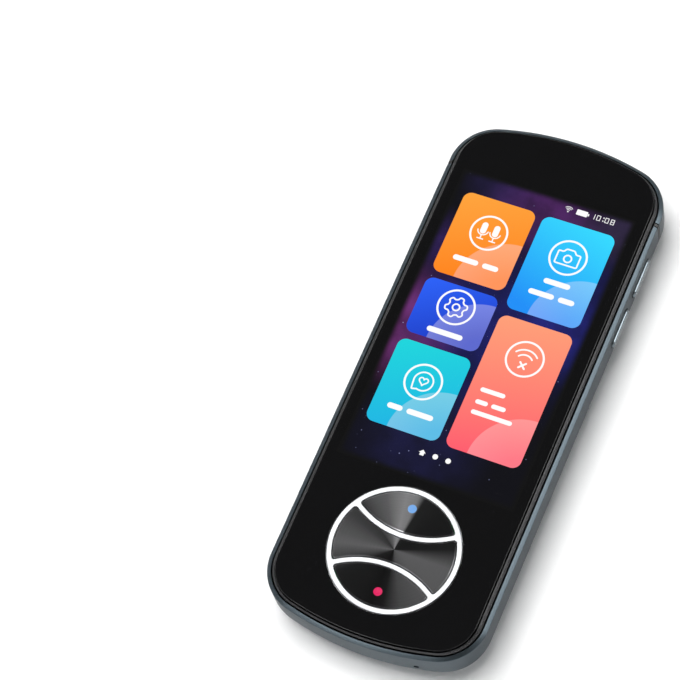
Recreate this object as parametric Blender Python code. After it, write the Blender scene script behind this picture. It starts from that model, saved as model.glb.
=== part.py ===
"""Handheld translator: a bar-shaped device with a glass front, a round pad of three talk
keys, a two-part shell with a dark strip, a camera block on its back and six push keys.

The device lies on its back, screen up. +X is its right side, +Y its top end and +Z comes
out of the glass. The origin is under its middle, at the lowest point of the camera ring.
Heights are worked out as a stack, from the glass down to the floor of the shell.
"""

import math

import bmesh
import bpy

# Body shell
BODY_WIDTH = 0.0456
BODY_LENGTH = 0.1148
BODY_THICKNESS = 0.0126
BODY_CORNER_RADIUS = 0.0098
BODY_END_RADIUS = 0.0615
BACK_ROUNDING = 0.0059
SIDE_WALL = 0.0009
END_WALL = 0.00085
BACK_WALL = 0.0011
RIM_BELOW_GLASS = 0.0013
RIM_SIDE_CHAMFER = 0.0008
RIM_END_CHAMFER = 0.00075
RIM_CHAMFER_DEPTH = 0.00045

# Clearances between neighbours
SEAT_GAP = 0.0003
FRAME_CLEARANCE = 0.00025
GLASS_CLEARANCE = 0.0002
LINE_GAP = 0.0002
KEY_CLEARANCE = 0.00025
SCREW_CLEARANCE = 0.0003
OVERRUN = 0.002

# Dark strip across the shell, camera block and second microphone
STRIP_FROM_TOP = 0.0125
STRIP_WIDTH = 0.0005
SURROUND_WIDTH = 0.00045
CAMERA_WIDTH = 0.0198
CAMERA_HEIGHT = 0.0114
CAMERA_CORNER = 0.0052
CAMERA_PROUD = 0.00035
BEZEL_WIDTH = 0.0012
BEZEL_EDGE = 0.0002
BEZEL_FLAT = 0.00035
WINDOW_RECESS = 0.0001
WINDOW_THICKNESS = 0.0007
LENS_X = 0.0004
LENS_RADIUS = 0.0017
LENS_THICKNESS = 0.0006
LENS_BULGE = 0.0002
BARREL_WALL = 0.001
MODULE_SIZE = 0.008
MODULE_CORNER = 0.0008
MODULE_BASE = 0.0018
FLASH_X = 0.0066
FLASH_RADIUS = 0.0012
FLASH_BASE_RADIUS = 0.0018
FLASH_BASE = 0.0006
COLLAR_FROM_SIDE = 0.0092
COLLAR_RADIUS = 0.00125
COLLAR_HOLE_RADIUS = 0.0007

# Front: rim, glass, screen module
FRAME_RIM_SIDE_WIDTH = 0.00062
FRAME_RIM_END_WIDTH = 0.0003
FRAME_RIM_BELOW_GLASS = 0.0007
FRAME_RIM_DROP = 0.0005
FRAME_SIDE = 0.0021
GLASS_THICKNESS = 0.001
GLASS_EDGE = 0.0002
PANEL_THICKNESS = 0.0023
PANEL_FROM_TOP = 0.0089
PANEL_CORNER = 0.0008
CHASSIS_THICKNESS = 0.0006

# Round key pad
KEYPAD_FROM_BOTTOM = 0.0197
RING_RADIUS = 0.0131
RING_WIDTH = 0.0009
RING_PROUD = 0.00005
FLANGE_WIDTH = 0.00065
FLANGE_THICKNESS = 0.0006
BAR_WIDTH = 0.00086
BAR_ARC_RADIUS = 0.01807
BAR_FROM_CENTRE = 0.00323
BAR_DEPTH = 0.0012
TALK_KEY_PROUD = 0.0001
TALK_KEY_THICKNESS = 0.0011
TALK_KEY_EDGE = 0.00012
TALK_KEY_TRAVEL = 0.00035
TRAVEL_MARGIN = 0.0001
MAT_THICKNESS = 0.0004
MAT_RIM_WIDTH = 0.0009
NUB_RADIUS = 0.001
NUB_HEIGHT = 0.0002
DOME_RADIUS = 0.0025
DOME_HEIGHT = 0.00035
DOME_FROM_CENTRE = 0.0077
KEY_BOARD_THICKNESS = 0.0006

# Side keys and their switches
SIDE_KEY_LENGTH = 0.0086
SIDE_KEY_HEIGHT = 0.0019
SIDE_KEY_PROUD = 0.0005
SIDE_KEY_EDGE = 0.0002
SIDE_KEY_BELOW_GLASS = 0.005
SIDE_KEY_TRAVEL = 0.0003
SIDE_KEY_FLANGE = 0.0005
SIDE_KEY_LIP = 0.0004
SIDE_KEY_SETBACK = 0.0006
LEFT_KEY_FROM_TOP = 0.0252
RIGHT_KEY_FROM_TOP = 0.023
RIGHT_KEY_PITCH = 0.0117
SWITCH_LENGTH = 0.004
SWITCH_HEIGHT = 0.0014
SWITCH_DEPTH = 0.0015
SWITCH_NUB = 0.0004
SWITCH_NUB_LENGTH = 0.0018
SWITCH_NUB_HEIGHT = 0.0008

# Sound holes, speaker and main microphone
HOLE_RADIUS = 0.0004
HOLE_PITCH = 0.00188
HOLE_ROW_PITCH = 0.00165
HOLES_IN_ROW = (14, 15, 14)
GRILLE_FROM_BOTTOM = 0.017
SPEAKER_LENGTH = 0.03
SPEAKER_DEPTH = 0.01
SPEAKER_CORNER = 0.0012
GASKET_THICKNESS = 0.0009
GASKET_WIDTH = 0.0011
MIC_FROM_SIDE = 0.0112
MIC_BELOW_GLASS = 0.0062
MIC_HOLE_RADIUS = 0.00055
MIC_LENGTH = 0.0038
MIC_DEPTH = 0.003
MIC_HEIGHT = 0.0012
MIC_CORNER = 0.0003
NOISE_MIC_LENGTH = 0.0035
NOISE_MIC_DEPTH = 0.0026
NOISE_MIC_HEIGHT = 0.0011

# Boards, battery, motor and socket
BOARD_THICKNESS = 0.0008
BOARD_LENGTH = 0.0341
BOARD_FROM_TOP = 0.0039
BOARD_SIDE_MARGIN = 0.0046
BOARD_CORNER = 0.006
SHIELD_HEIGHT = 0.0017
SHIELD_LENGTH = 0.015
SHIELD_WIDTH = 0.0122
SHIELD_CORNER = 0.001
SHIELD_WALL = 0.0003
SHIELD_FROM_BOARD_END = 0.0021
SHIELD_SPACING = 0.0024
BATTERY_SIDE_MARGIN = 0.0048
BATTERY_CORNER = 0.0016
BATTERY_ROOM = 0.0004
MOTOR_RADIUS = 0.004
MOTOR_HEIGHT = 0.0027
MOTOR_FROM_BOARD_SIDE = 0.0062
SOCKET_WIDTH = 0.0089
SOCKET_HEIGHT = 0.0032
SOCKET_DEPTH = 0.0073
SOCKET_WALL = 0.0003
SOCKET_BACK = 0.0012
SOCKET_BELOW_GLASS = 0.0057
SOCKET_RECESS = 0.0003
TONGUE_WIDTH = 0.0067
TONGUE_THICKNESS = 0.0007
TONGUE_SETBACK = 0.0008

# Screws of the main board
SCREW_RADIUS = 0.0007
SCREW_HEAD_RADIUS = 0.00125
SCREW_HEAD = 0.0007
SCREW_BITE = 0.0004
SCREW_FROM_BOARD_SIDE = 0.0024
LOW_SCREW_FROM_BOARD_END = 0.0091
TOP_SCREW_FROM_BOARD_SIDE = 0.003
TOP_SCREW_FROM_TOP = 0.0074

# Facets
CORNER_STEPS = 8
END_STEPS = 5
ROUND_STEPS = 7
RING_SIDES = 72
BAR_STEPS = 16
KEY_ARC_STEPS = 16
HOLE_SIDES = 8
SMALL_SIDES = 20
SMALL_CORNER_STEPS = 5
SMOOTH_ANGLE = math.radians(35)

# Heights, worked out from the glass down
FRONT = CAMERA_PROUD + BODY_THICKNESS
BACK = CAMERA_PROUD
FLOOR = BACK + BACK_WALL
RIM_TOP = FRONT - RIM_BELOW_GLASS
GLASS_LOW = FRONT - GLASS_THICKNESS
SEAT = GLASS_LOW - SEAT_GAP
PANEL_LOW = SEAT - PANEL_THICKNESS
CHASSIS_TOP = PANEL_LOW - SEAT_GAP
CHASSIS_LOW = CHASSIS_TOP - CHASSIS_THICKNESS
BOARD_TOP = CHASSIS_LOW - SEAT_GAP
BOARD_LOW = BOARD_TOP - BOARD_THICKNESS
PARTS_TOP = BOARD_LOW - SEAT_GAP
KEY_BOARD_LOW = CHASSIS_TOP + SEAT_GAP
KEY_BOARD_TOP = KEY_BOARD_LOW + KEY_BOARD_THICKNESS

# Places along the body
TOP_END = BODY_LENGTH / 2
BOTTOM_END = -TOP_END
SIDE = BODY_WIDTH / 2
STRIP_Y = TOP_END - STRIP_FROM_TOP
KEYPAD_Y = BOTTOM_END + KEYPAD_FROM_BOTTOM
GRILLE_Y = BOTTOM_END + GRILLE_FROM_BOTTOM
BAR_CENTRE = BAR_FROM_CENTRE + BAR_ARC_RADIUS
RING_INNER = RING_RADIUS - RING_WIDTH
FLANGE_RADIUS = RING_RADIUS + FLANGE_WIDTH
PANEL_TOP_END = TOP_END - PANEL_FROM_TOP
PANEL_LOW_END = KEYPAD_Y + FLANGE_RADIUS + SEAT_GAP
BOARD_TOP_END = TOP_END - BOARD_FROM_TOP
BOARD_LOW_END = BOARD_TOP_END - BOARD_LENGTH
BOARD_SIDE = SIDE - BOARD_SIDE_MARGIN
SCREW_X = BOARD_SIDE - SCREW_FROM_BOARD_SIDE
TOP_SCREW_X = BOARD_SIDE - TOP_SCREW_FROM_BOARD_SIDE
MOTOR_X = BOARD_SIDE - MOTOR_FROM_BOARD_SIDE
COLLAR_X = SIDE - COLLAR_FROM_SIDE
MIC_X = SIDE - MIC_FROM_SIDE
FRAME_SIDE_INSET = SIDE_WALL + FRAME_CLEARANCE
FRAME_END_INSET = END_WALL + FRAME_CLEARANCE
POCKET_SIDE = SIDE - FRAME_SIDE_INSET - FRAME_SIDE
SOCKET_MOUTH = TOP_END - SOCKET_RECESS
SOCKET_REAR = SOCKET_MOUTH - SOCKET_DEPTH
SOCKET_Z = FRONT - SOCKET_BELOW_GLASS
SIDE_KEY_Z = FRONT - SIDE_KEY_BELOW_GLASS
LIP_OUTER = SIDE - SIDE_WALL - SIDE_KEY_SETBACK
SCREW_PLACES = {
    "board_screw_1": (-SCREW_X, BOARD_LOW_END + LOW_SCREW_FROM_BOARD_END),
    "board_screw_2": (SCREW_X, BOARD_LOW_END + LOW_SCREW_FROM_BOARD_END),
    "board_screw_3": (-TOP_SCREW_X, TOP_END - TOP_SCREW_FROM_TOP),
    "board_screw_4": (TOP_SCREW_X, TOP_END - TOP_SCREW_FROM_TOP),
}
SIDE_KEYS = {
    "left": (-1, TOP_END - LEFT_KEY_FROM_TOP),
    "right_upper": (1, TOP_END - RIGHT_KEY_FROM_TOP),
    "right_lower": (1, TOP_END - RIGHT_KEY_FROM_TOP - RIGHT_KEY_PITCH),
}

# Colour, roughness and metallic value of each finish
FINISHES = {
    "shell_paint": ((0.078, 0.089, 0.098), 0.34, 0.75),
    "strip_black": ((0.012, 0.012, 0.013), 0.45, 0.0),
    "bezel_chrome": ((0.72, 0.73, 0.74), 0.12, 1.0),
    "window_glass": ((0.01, 0.01, 0.012), 0.06, 0.0),
    "frame_grey": ((0.1, 0.1, 0.1), 0.4, 0.2),
    "front_glass": ((0.008, 0.008, 0.008), 0.05, 0.0),
    "ring_white": ((0.85, 0.86, 0.87), 0.35, 0.0),
    "key_metal": ((0.09, 0.09, 0.095), 0.32, 0.9),
    "side_key_metal": ((0.1, 0.11, 0.12), 0.3, 0.9),
    "panel_dark": ((0.02, 0.02, 0.05), 0.3, 0.0),
    "silicone_grey": ((0.3, 0.3, 0.31), 0.7, 0.0),
    "spring_steel": ((0.6, 0.6, 0.58), 0.25, 1.0),
    "board_green": ((0.02, 0.11, 0.05), 0.5, 0.0),
    "shield_tin": ((0.5, 0.5, 0.48), 0.35, 1.0),
    "battery_wrap": ((0.05, 0.05, 0.055), 0.5, 0.0),
    "speaker_black": ((0.02, 0.02, 0.02), 0.55, 0.0),
    "foam_black": ((0.015, 0.015, 0.015), 0.9, 0.0),
    "mic_metal": ((0.55, 0.5, 0.35), 0.35, 1.0),
    "module_black": ((0.015, 0.015, 0.016), 0.5, 0.0),
    "lens_coating": ((0.03, 0.015, 0.09), 0.05, 0.0),
    "flash_cream": ((0.83, 0.8, 0.58), 0.3, 0.0),
    "socket_steel": ((0.45, 0.45, 0.46), 0.3, 1.0),
    "screw_steel": ((0.35, 0.35, 0.36), 0.35, 1.0),
}


def clear_scene():
    """Remove every object, so that the part stands alone."""
    for obj in list(bpy.data.objects):
        bpy.data.objects.remove(obj, do_unlink=True)


def finish(name):
    """The material of one finish, made the first time it is asked for."""
    material = bpy.data.materials.get(name)
    if material is None:
        colour, roughness, metallic = FINISHES[name]
        material = bpy.data.materials.new(name)
        material.use_nodes = True
        shader = material.node_tree.nodes["Principled BSDF"]
        shader.inputs["Base Color"].default_value = (*colour, 1)
        shader.inputs["Roughness"].default_value = roughness
        shader.inputs["Metallic"].default_value = metallic
    return material


# Outlines: lists of (x, y) points, counter-clockwise

def body_outline(side_inset, end_inset):
    """The body's plan: straight sides, large corners and ends that are shallow arcs.

    Each corner arc touches the side line and, from inside, the end arc.
    """
    half_width = SIDE - side_inset
    end = BODY_END_RADIUS - end_inset
    corner = BODY_CORNER_RADIUS - (side_inset + end_inset) / 2
    end_y = TOP_END - end_inset - end
    corner_x = half_width - corner
    corner_y = end_y + math.sqrt((end - corner) ** 2 - corner_x ** 2)
    meet = math.atan2(corner_y - end_y, corner_x)
    quarter = []
    for step in range(CORNER_STEPS + 1):
        angle = meet * step / CORNER_STEPS
        quarter.append((corner_x + corner * math.cos(angle), corner_y + corner * math.sin(angle)))
    for step in range(1, END_STEPS + 1):
        angle = meet + (math.pi / 2 - meet) * step / END_STEPS
        quarter.append((end * math.cos(angle), end_y + end * math.sin(angle)))
    mirrored = [(-x, y) for x, y in reversed(quarter[:-1])]
    upper = quarter + mirrored
    lower = [(-x, -y) for x, y in upper]
    return upper + lower


def end_edge(end_inset, x):
    """How far up the body's axis its end arc lies at a given x."""
    end = BODY_END_RADIUS - end_inset
    return TOP_END - end_inset - end + math.sqrt(end ** 2 - x ** 2)


def circle(radius, centre=(0, 0), sides=SMALL_SIDES):
    """A regular outline of a circle."""
    turn = 2 * math.pi / sides
    return [
        (centre[0] + radius * math.cos(turn * k), centre[1] + radius * math.sin(turn * k))
        for k in range(sides)
    ]


def rounded_rectangle(half_x, half_y, radius, centre=(0, 0), steps=SMALL_CORNER_STEPS):
    """A rectangle whose four corners are quarter circles."""
    points = []
    for corner in range(4):
        start = math.pi / 2 * corner
        side_x = 1 if corner in (0, 3) else -1
        side_y = 1 if corner in (0, 1) else -1
        middle_x = centre[0] + side_x * (half_x - radius)
        middle_y = centre[1] + side_y * (half_y - radius)
        for step in range(steps + 1):
            angle = start + math.pi / 2 * step / steps
            points.append((middle_x + radius * math.cos(angle), middle_y + radius * math.sin(angle)))
    return points


def arc(radius, centre, start, end, steps):
    """Points along an arc, both ends included."""
    return [
        (
            centre[0] + radius * math.cos(start + (end - start) * k / steps),
            centre[1] + radius * math.sin(start + (end - start) * k / steps),
        )
        for k in range(steps + 1)
    ]


def crossing(disc, circle_radius, distance):
    """Angles at which a disc's edge meets a circle whose centre is that far up its axis.

    Gives the angle from +X seen from the disc, and the angle from -Y seen from the circle.
    """
    height = (disc ** 2 - circle_radius ** 2 + distance ** 2) / (2 * distance)
    half_chord = math.sqrt(disc ** 2 - height ** 2)
    return math.atan2(height, half_chord), math.atan2(half_chord, distance - height)


def outer_key_outline(inset):
    """The upper key: the disc's edge above, and below it an arc that bulges to the middle."""
    disc = RING_INNER - KEY_CLEARANCE - inset
    bulge = BAR_ARC_RADIUS - BAR_WIDTH / 2 - KEY_CLEARANCE - inset
    low, swing = crossing(disc, bulge, BAR_CENTRE)
    edge = arc(disc, (0, 0), low, math.pi - low, KEY_ARC_STEPS)
    down = -math.pi / 2
    belly = arc(bulge, (0, BAR_CENTRE), down - swing, down + swing, KEY_ARC_STEPS)
    return edge + belly[1:-1]


def middle_key_outline(inset):
    """The middle key: narrow at its waist, between two arcs, with round ends."""
    disc = RING_INNER - KEY_CLEARANCE - inset
    hollow = BAR_ARC_RADIUS + BAR_WIDTH / 2 + KEY_CLEARANCE + inset
    low, swing = crossing(disc, hollow, BAR_CENTRE)
    down = -math.pi / 2
    right = arc(disc, (0, 0), -low, low, KEY_ARC_STEPS // 2)
    top = arc(hollow, (0, BAR_CENTRE), down + swing, down - swing, KEY_ARC_STEPS)
    return right + top[1:-1] + [(-x, -y) for x, y in right + top[1:-1]]


def bar_outline():
    """One curved bar of the key ring, whose ends reach the middle of the ring's wall."""
    swing = crossing(RING_RADIUS - RING_WIDTH / 2, BAR_ARC_RADIUS, BAR_CENTRE)[1]
    down = -math.pi / 2
    outer = arc(BAR_ARC_RADIUS + BAR_WIDTH / 2, (0, BAR_CENTRE), down - swing, down + swing, BAR_STEPS)
    inner = arc(BAR_ARC_RADIUS - BAR_WIDTH / 2, (0, BAR_CENTRE), down + swing, down - swing, BAR_STEPS)
    return outer + inner


def moved(outline, x, y):
    """An outline moved in its plane."""
    return [(px + x, py + y) for px, py in outline]


def upside_down(outline):
    """An outline mirrored top to bottom."""
    return [(x, -y) for x, y in outline]


# Solids from outlines

def level(outline, z):
    """The outline as a loop at one height."""
    return [(x, y, z) for x, y in outline]


def upright(outline, y):
    """The outline as a loop in a plane that faces the top end, its own y pointing up."""
    return [(px, y, pz) for px, pz in outline]


def sideways(outline, x):
    """The outline as a loop in a plane that faces the right side: (along the body, up)."""
    return [(x, along, up) for along, up in outline]


def place(name, bm, finish_name, origin=(0, 0, 0)):
    """Turn a finished bmesh into a named object whose origin is at the given point."""
    bmesh.ops.recalc_face_normals(bm, faces=bm.faces)
    bmesh.ops.translate(bm, vec=[-value for value in origin], verts=bm.verts)
    mesh = bpy.data.meshes.new(name)
    bm.to_mesh(mesh)
    bm.free()
    mesh.shade_smooth()
    mesh.set_sharp_from_angle(angle=SMOOTH_ANGLE)
    obj = bpy.data.objects.new(name, mesh)
    obj.location = origin
    bpy.context.scene.collection.objects.link(obj)
    if finish_name is not None:
        mesh.materials.append(finish(finish_name))
    return obj


def add_loft(bm, loops, closed=False):
    """Bridge loops of equal length in turn; cap both ends, or join the last to the first."""
    rings = [[bm.verts.new(point) for point in loop] for loop in loops]
    pairs = list(zip(rings, rings[1:]))
    if closed:
        pairs.append((rings[-1], rings[0]))
    else:
        bm.faces.new(list(reversed(rings[0])))
        bm.faces.new(rings[-1])
    for low, high in pairs:
        count = len(low)
        for k in range(count):
            following = (k + 1) % count
            bm.faces.new((low[k], low[following], high[following], high[k]))


def loft(name, loops, finish_name, closed=False, origin=(0, 0, 0)):
    """One solid bridged through its loops."""
    bm = bmesh.new()
    add_loft(bm, loops, closed)
    return place(name, bm, finish_name, origin)


def slab(name, outline, low, high, finish_name, origin=(0, 0, 0)):
    """A plate of one outline between two heights."""
    return loft(name, [level(outline, low), level(outline, high)], finish_name, origin=origin)


def cutter(name, lofts):
    """A guide solid that cuts or joins others and isn't a piece itself."""
    bm = bmesh.new()
    for loops in lofts:
        add_loft(bm, loops)
    obj = place(name, bm, None)
    obj.hide_render = True
    obj.display_type = "WIRE"
    return obj


def slab_cutter(name, outline, low, high):
    """A cutter of one outline between two heights."""
    return cutter(name, [[level(outline, low), level(outline, high)]])


def block(x_low, x_high, y_low, y_high):
    """A plain rectangular outline from its edges."""
    return [(x_low, y_low), (x_high, y_low), (x_high, y_high), (x_low, y_high)]


def boolean(obj, tool, operation="DIFFERENCE"):
    """Cut, join or keep what two solids share."""
    modifier = obj.modifiers.new(tool.name, "BOOLEAN")
    modifier.operation = operation
    modifier.object = tool
    modifier.solver = "EXACT"


# The shell and what shares its surface

def shell_loops():
    """The shell's wall in section, carried round the plan: floor, rounding, wall, rim, inside."""
    loops = []
    for step in range(ROUND_STEPS + 1):
        angle = math.pi / 2 * step / ROUND_STEPS
        inset = BACK_ROUNDING * (1 - math.sin(angle))
        height = BACK + BACK_ROUNDING * (1 - math.cos(angle))
        loops.append(level(body_outline(inset, inset), height))
    loops.append(level(body_outline(0, 0), RIM_TOP - RIM_CHAMFER_DEPTH))
    loops.append(level(body_outline(RIM_SIDE_CHAMFER, RIM_END_CHAMFER), RIM_TOP))
    loops.append(level(body_outline(SIDE_WALL, END_WALL), RIM_TOP))
    for step in range(ROUND_STEPS + 1):
        angle = math.pi / 2 * step / ROUND_STEPS
        turn_in = 1 - math.cos(angle)
        side_inset = SIDE_WALL + (BACK_ROUNDING - SIDE_WALL) * turn_in
        end_inset = END_WALL + (BACK_ROUNDING - END_WALL) * turn_in
        height = BACK + BACK_ROUNDING - (BACK_ROUNDING - BACK_WALL) * math.sin(angle)
        loops.append(level(body_outline(side_inset, end_inset), height))
    return loops


def camera_outline(inset):
    """The camera block's outline, drawn in by an inset or let out by a negative one."""
    half_x = CAMERA_WIDTH / 2 - inset
    half_y = CAMERA_HEIGHT / 2 - inset
    return rounded_rectangle(half_x, half_y, CAMERA_CORNER - inset, (0, STRIP_Y), CORNER_STEPS)


def side_key_outline(grow=0):
    """A side key's round-ended section, about its own middle: (along the body, up)."""
    half_height = SIDE_KEY_HEIGHT / 2 + grow
    return rounded_rectangle(SIDE_KEY_LENGTH / 2 + grow, half_height, half_height)


def socket_outline(grow=0):
    """The socket's round-ended section."""
    half_height = SOCKET_HEIGHT / 2 + grow
    return rounded_rectangle(SOCKET_WIDTH / 2 + grow, half_height, half_height, (0, SOCKET_Z))


def hole_places():
    """Centres of the sound holes: staggered rows about the middle of the grille."""
    rows = len(HOLES_IN_ROW)
    for row, count in enumerate(HOLES_IN_ROW):
        y = GRILLE_Y + HOLE_ROW_PITCH * ((rows - 1) / 2 - row)
        for k in range(count):
            yield HOLE_PITCH * (k - (count - 1) / 2), y


def make_shell():
    """Rear cover, antenna cap and the dark strip between them."""
    groove = STRIP_WIDTH / 2 + LINE_GAP
    wide = SIDE + OVERRUN
    high = FRONT + OVERRUN
    surround_edge = -LINE_GAP - SURROUND_WIDTH
    below_strip = slab_cutter(
        "cut_below_strip", block(-wide, wide, BOTTOM_END - OVERRUN, STRIP_Y + groove), -OVERRUN, high)
    above_strip = slab_cutter(
        "cut_above_strip", block(-wide, wide, STRIP_Y - groove, TOP_END + OVERRUN), -OVERRUN, high)
    surround_room = slab_cutter(
        "cut_surround_room", camera_outline(surround_edge - LINE_GAP), -OVERRUN, FLOOR + OVERRUN)
    collar_room = slab_cutter(
        "cut_collar_room", circle(COLLAR_RADIUS + LINE_GAP, (COLLAR_X, STRIP_Y)), -OVERRUN, FLOOR + OVERRUN)

    rear_cover = loft("rear_cover", shell_loops(), "shell_paint")
    holes = cutter("cut_sound_holes", [
        [level(circle(HOLE_RADIUS, spot, HOLE_SIDES), BACK - OVERRUN),
         level(circle(HOLE_RADIUS, spot, HOLE_SIDES), FLOOR + OVERRUN)]
        for spot in hole_places()
    ])
    slots = []
    for side, y in SIDE_KEYS.values():
        slot = moved(side_key_outline(KEY_CLEARANCE), y, SIDE_KEY_Z)
        inside = SIDE - SIDE_WALL - BACK_WALL
        slots.append([sideways(slot, side * inside), sideways(slot, side * wide)])
    key_slots = cutter("cut_side_key_slots", slots)
    bore = circle(MIC_HOLE_RADIUS, (MIC_X, FRONT - MIC_BELOW_GLASS), SMALL_SIDES)
    mic_hole = cutter("cut_mic_hole", [
        [upright(bore, BOTTOM_END - OVERRUN), upright(bore, BOTTOM_END + END_WALL + OVERRUN)]])
    for tool in (above_strip, surround_room, collar_room, holes, key_slots, mic_hole):
        boolean(rear_cover, tool)

    antenna_cap = loft("antenna_cap", shell_loops(), "shell_paint")
    slot = socket_outline(SEAT_GAP)
    socket_slot = cutter("cut_socket_slot", [
        [upright(slot, TOP_END - BACK_ROUNDING / 2), upright(slot, TOP_END + OVERRUN)]])
    for tool in (below_strip, surround_room, collar_room, socket_slot):
        boolean(antenna_cap, tool)

    antenna_strip = loft("antenna_strip", shell_loops(), "strip_black")
    half = STRIP_WIDTH / 2
    band = slab_cutter(
        "keep_strip_band", block(-wide, wide, STRIP_Y - half, STRIP_Y + half), -OVERRUN, high)
    surround = slab_cutter("join_surround", camera_outline(surround_edge), BACK, FLOOR)
    collar = slab_cutter("join_collar", circle(COLLAR_RADIUS, (COLLAR_X, STRIP_Y)), BACK, FLOOR)
    camera_room = slab_cutter("cut_camera_room", camera_outline(-LINE_GAP), -OVERRUN, FLOOR + OVERRUN)
    collar_bore = slab_cutter(
        "cut_collar_bore", circle(COLLAR_HOLE_RADIUS, (COLLAR_X, STRIP_Y)), -OVERRUN, FLOOR + OVERRUN)
    boolean(antenna_strip, band, "INTERSECT")
    boolean(antenna_strip, surround, "UNION")
    boolean(antenna_strip, collar, "UNION")
    boolean(antenna_strip, camera_room)
    boolean(antenna_strip, collar_bore)


def make_camera():
    """Chrome ring, window, camera module with its lens, and the flash."""
    window_face = BACK + WINDOW_RECESS
    window_inner = window_face + WINDOW_THICKNESS
    behind = window_inner + SEAT_GAP
    section = (
        (0, FLOOR),
        (0, BEZEL_EDGE),
        (BEZEL_EDGE, 0),
        (BEZEL_EDGE + BEZEL_FLAT, 0),
        (BEZEL_WIDTH, window_face),
        (BEZEL_WIDTH, FLOOR),
    )
    loft("camera_bezel", [level(camera_outline(inset), z) for inset, z in section],
         "bezel_chrome", closed=True)

    window = slab("camera_window", camera_outline(BEZEL_WIDTH + LINE_GAP), window_face, window_inner,
                  "window_glass")
    flash_room = slab_cutter(
        "cut_flash_room", circle(FLASH_RADIUS + KEY_CLEARANCE, (FLASH_X, STRIP_Y)),
        -OVERRUN, FLOOR + OVERRUN)
    boolean(window, flash_room)

    barrel_radius = LENS_RADIUS + SEAT_GAP + BARREL_WALL
    lens_low = behind + SEAT_GAP
    base_low = PARTS_TOP - MODULE_BASE
    spot = (LENS_X, STRIP_Y)
    module = slab(
        "camera_module",
        rounded_rectangle(MODULE_SIZE / 2, MODULE_SIZE / 2, MODULE_CORNER, spot),
        base_low, PARTS_TOP, "module_black")
    barrel = slab_cutter("join_barrel", circle(barrel_radius, spot), behind, PARTS_TOP - MODULE_BASE / 2)
    lens_room = slab_cutter(
        "cut_lens_room", circle(LENS_RADIUS + SEAT_GAP, spot), BACK, lens_low + LENS_THICKNESS + SEAT_GAP)
    boolean(module, barrel, "UNION")
    boolean(module, lens_room)
    dome = [
        level(circle(LENS_RADIUS * math.cos(angle), spot), lens_low + LENS_BULGE * (1 - math.sin(angle)))
        for angle in (math.pi / 3, math.pi / 6, 0)
    ]
    rim = level(circle(LENS_RADIUS, spot), lens_low + LENS_THICKNESS)
    loft("camera_lens", dome + [rim], "lens_coating")

    spot = (FLASH_X, STRIP_Y)
    loft("flash_led", [
        level(circle(FLASH_RADIUS, spot), window_face),
        level(circle(FLASH_RADIUS, spot), behind),
        level(circle(FLASH_BASE_RADIUS, spot), behind),
        level(circle(FLASH_BASE_RADIUS, spot), behind + FLASH_BASE),
    ], "flash_cream")


# The front

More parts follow.
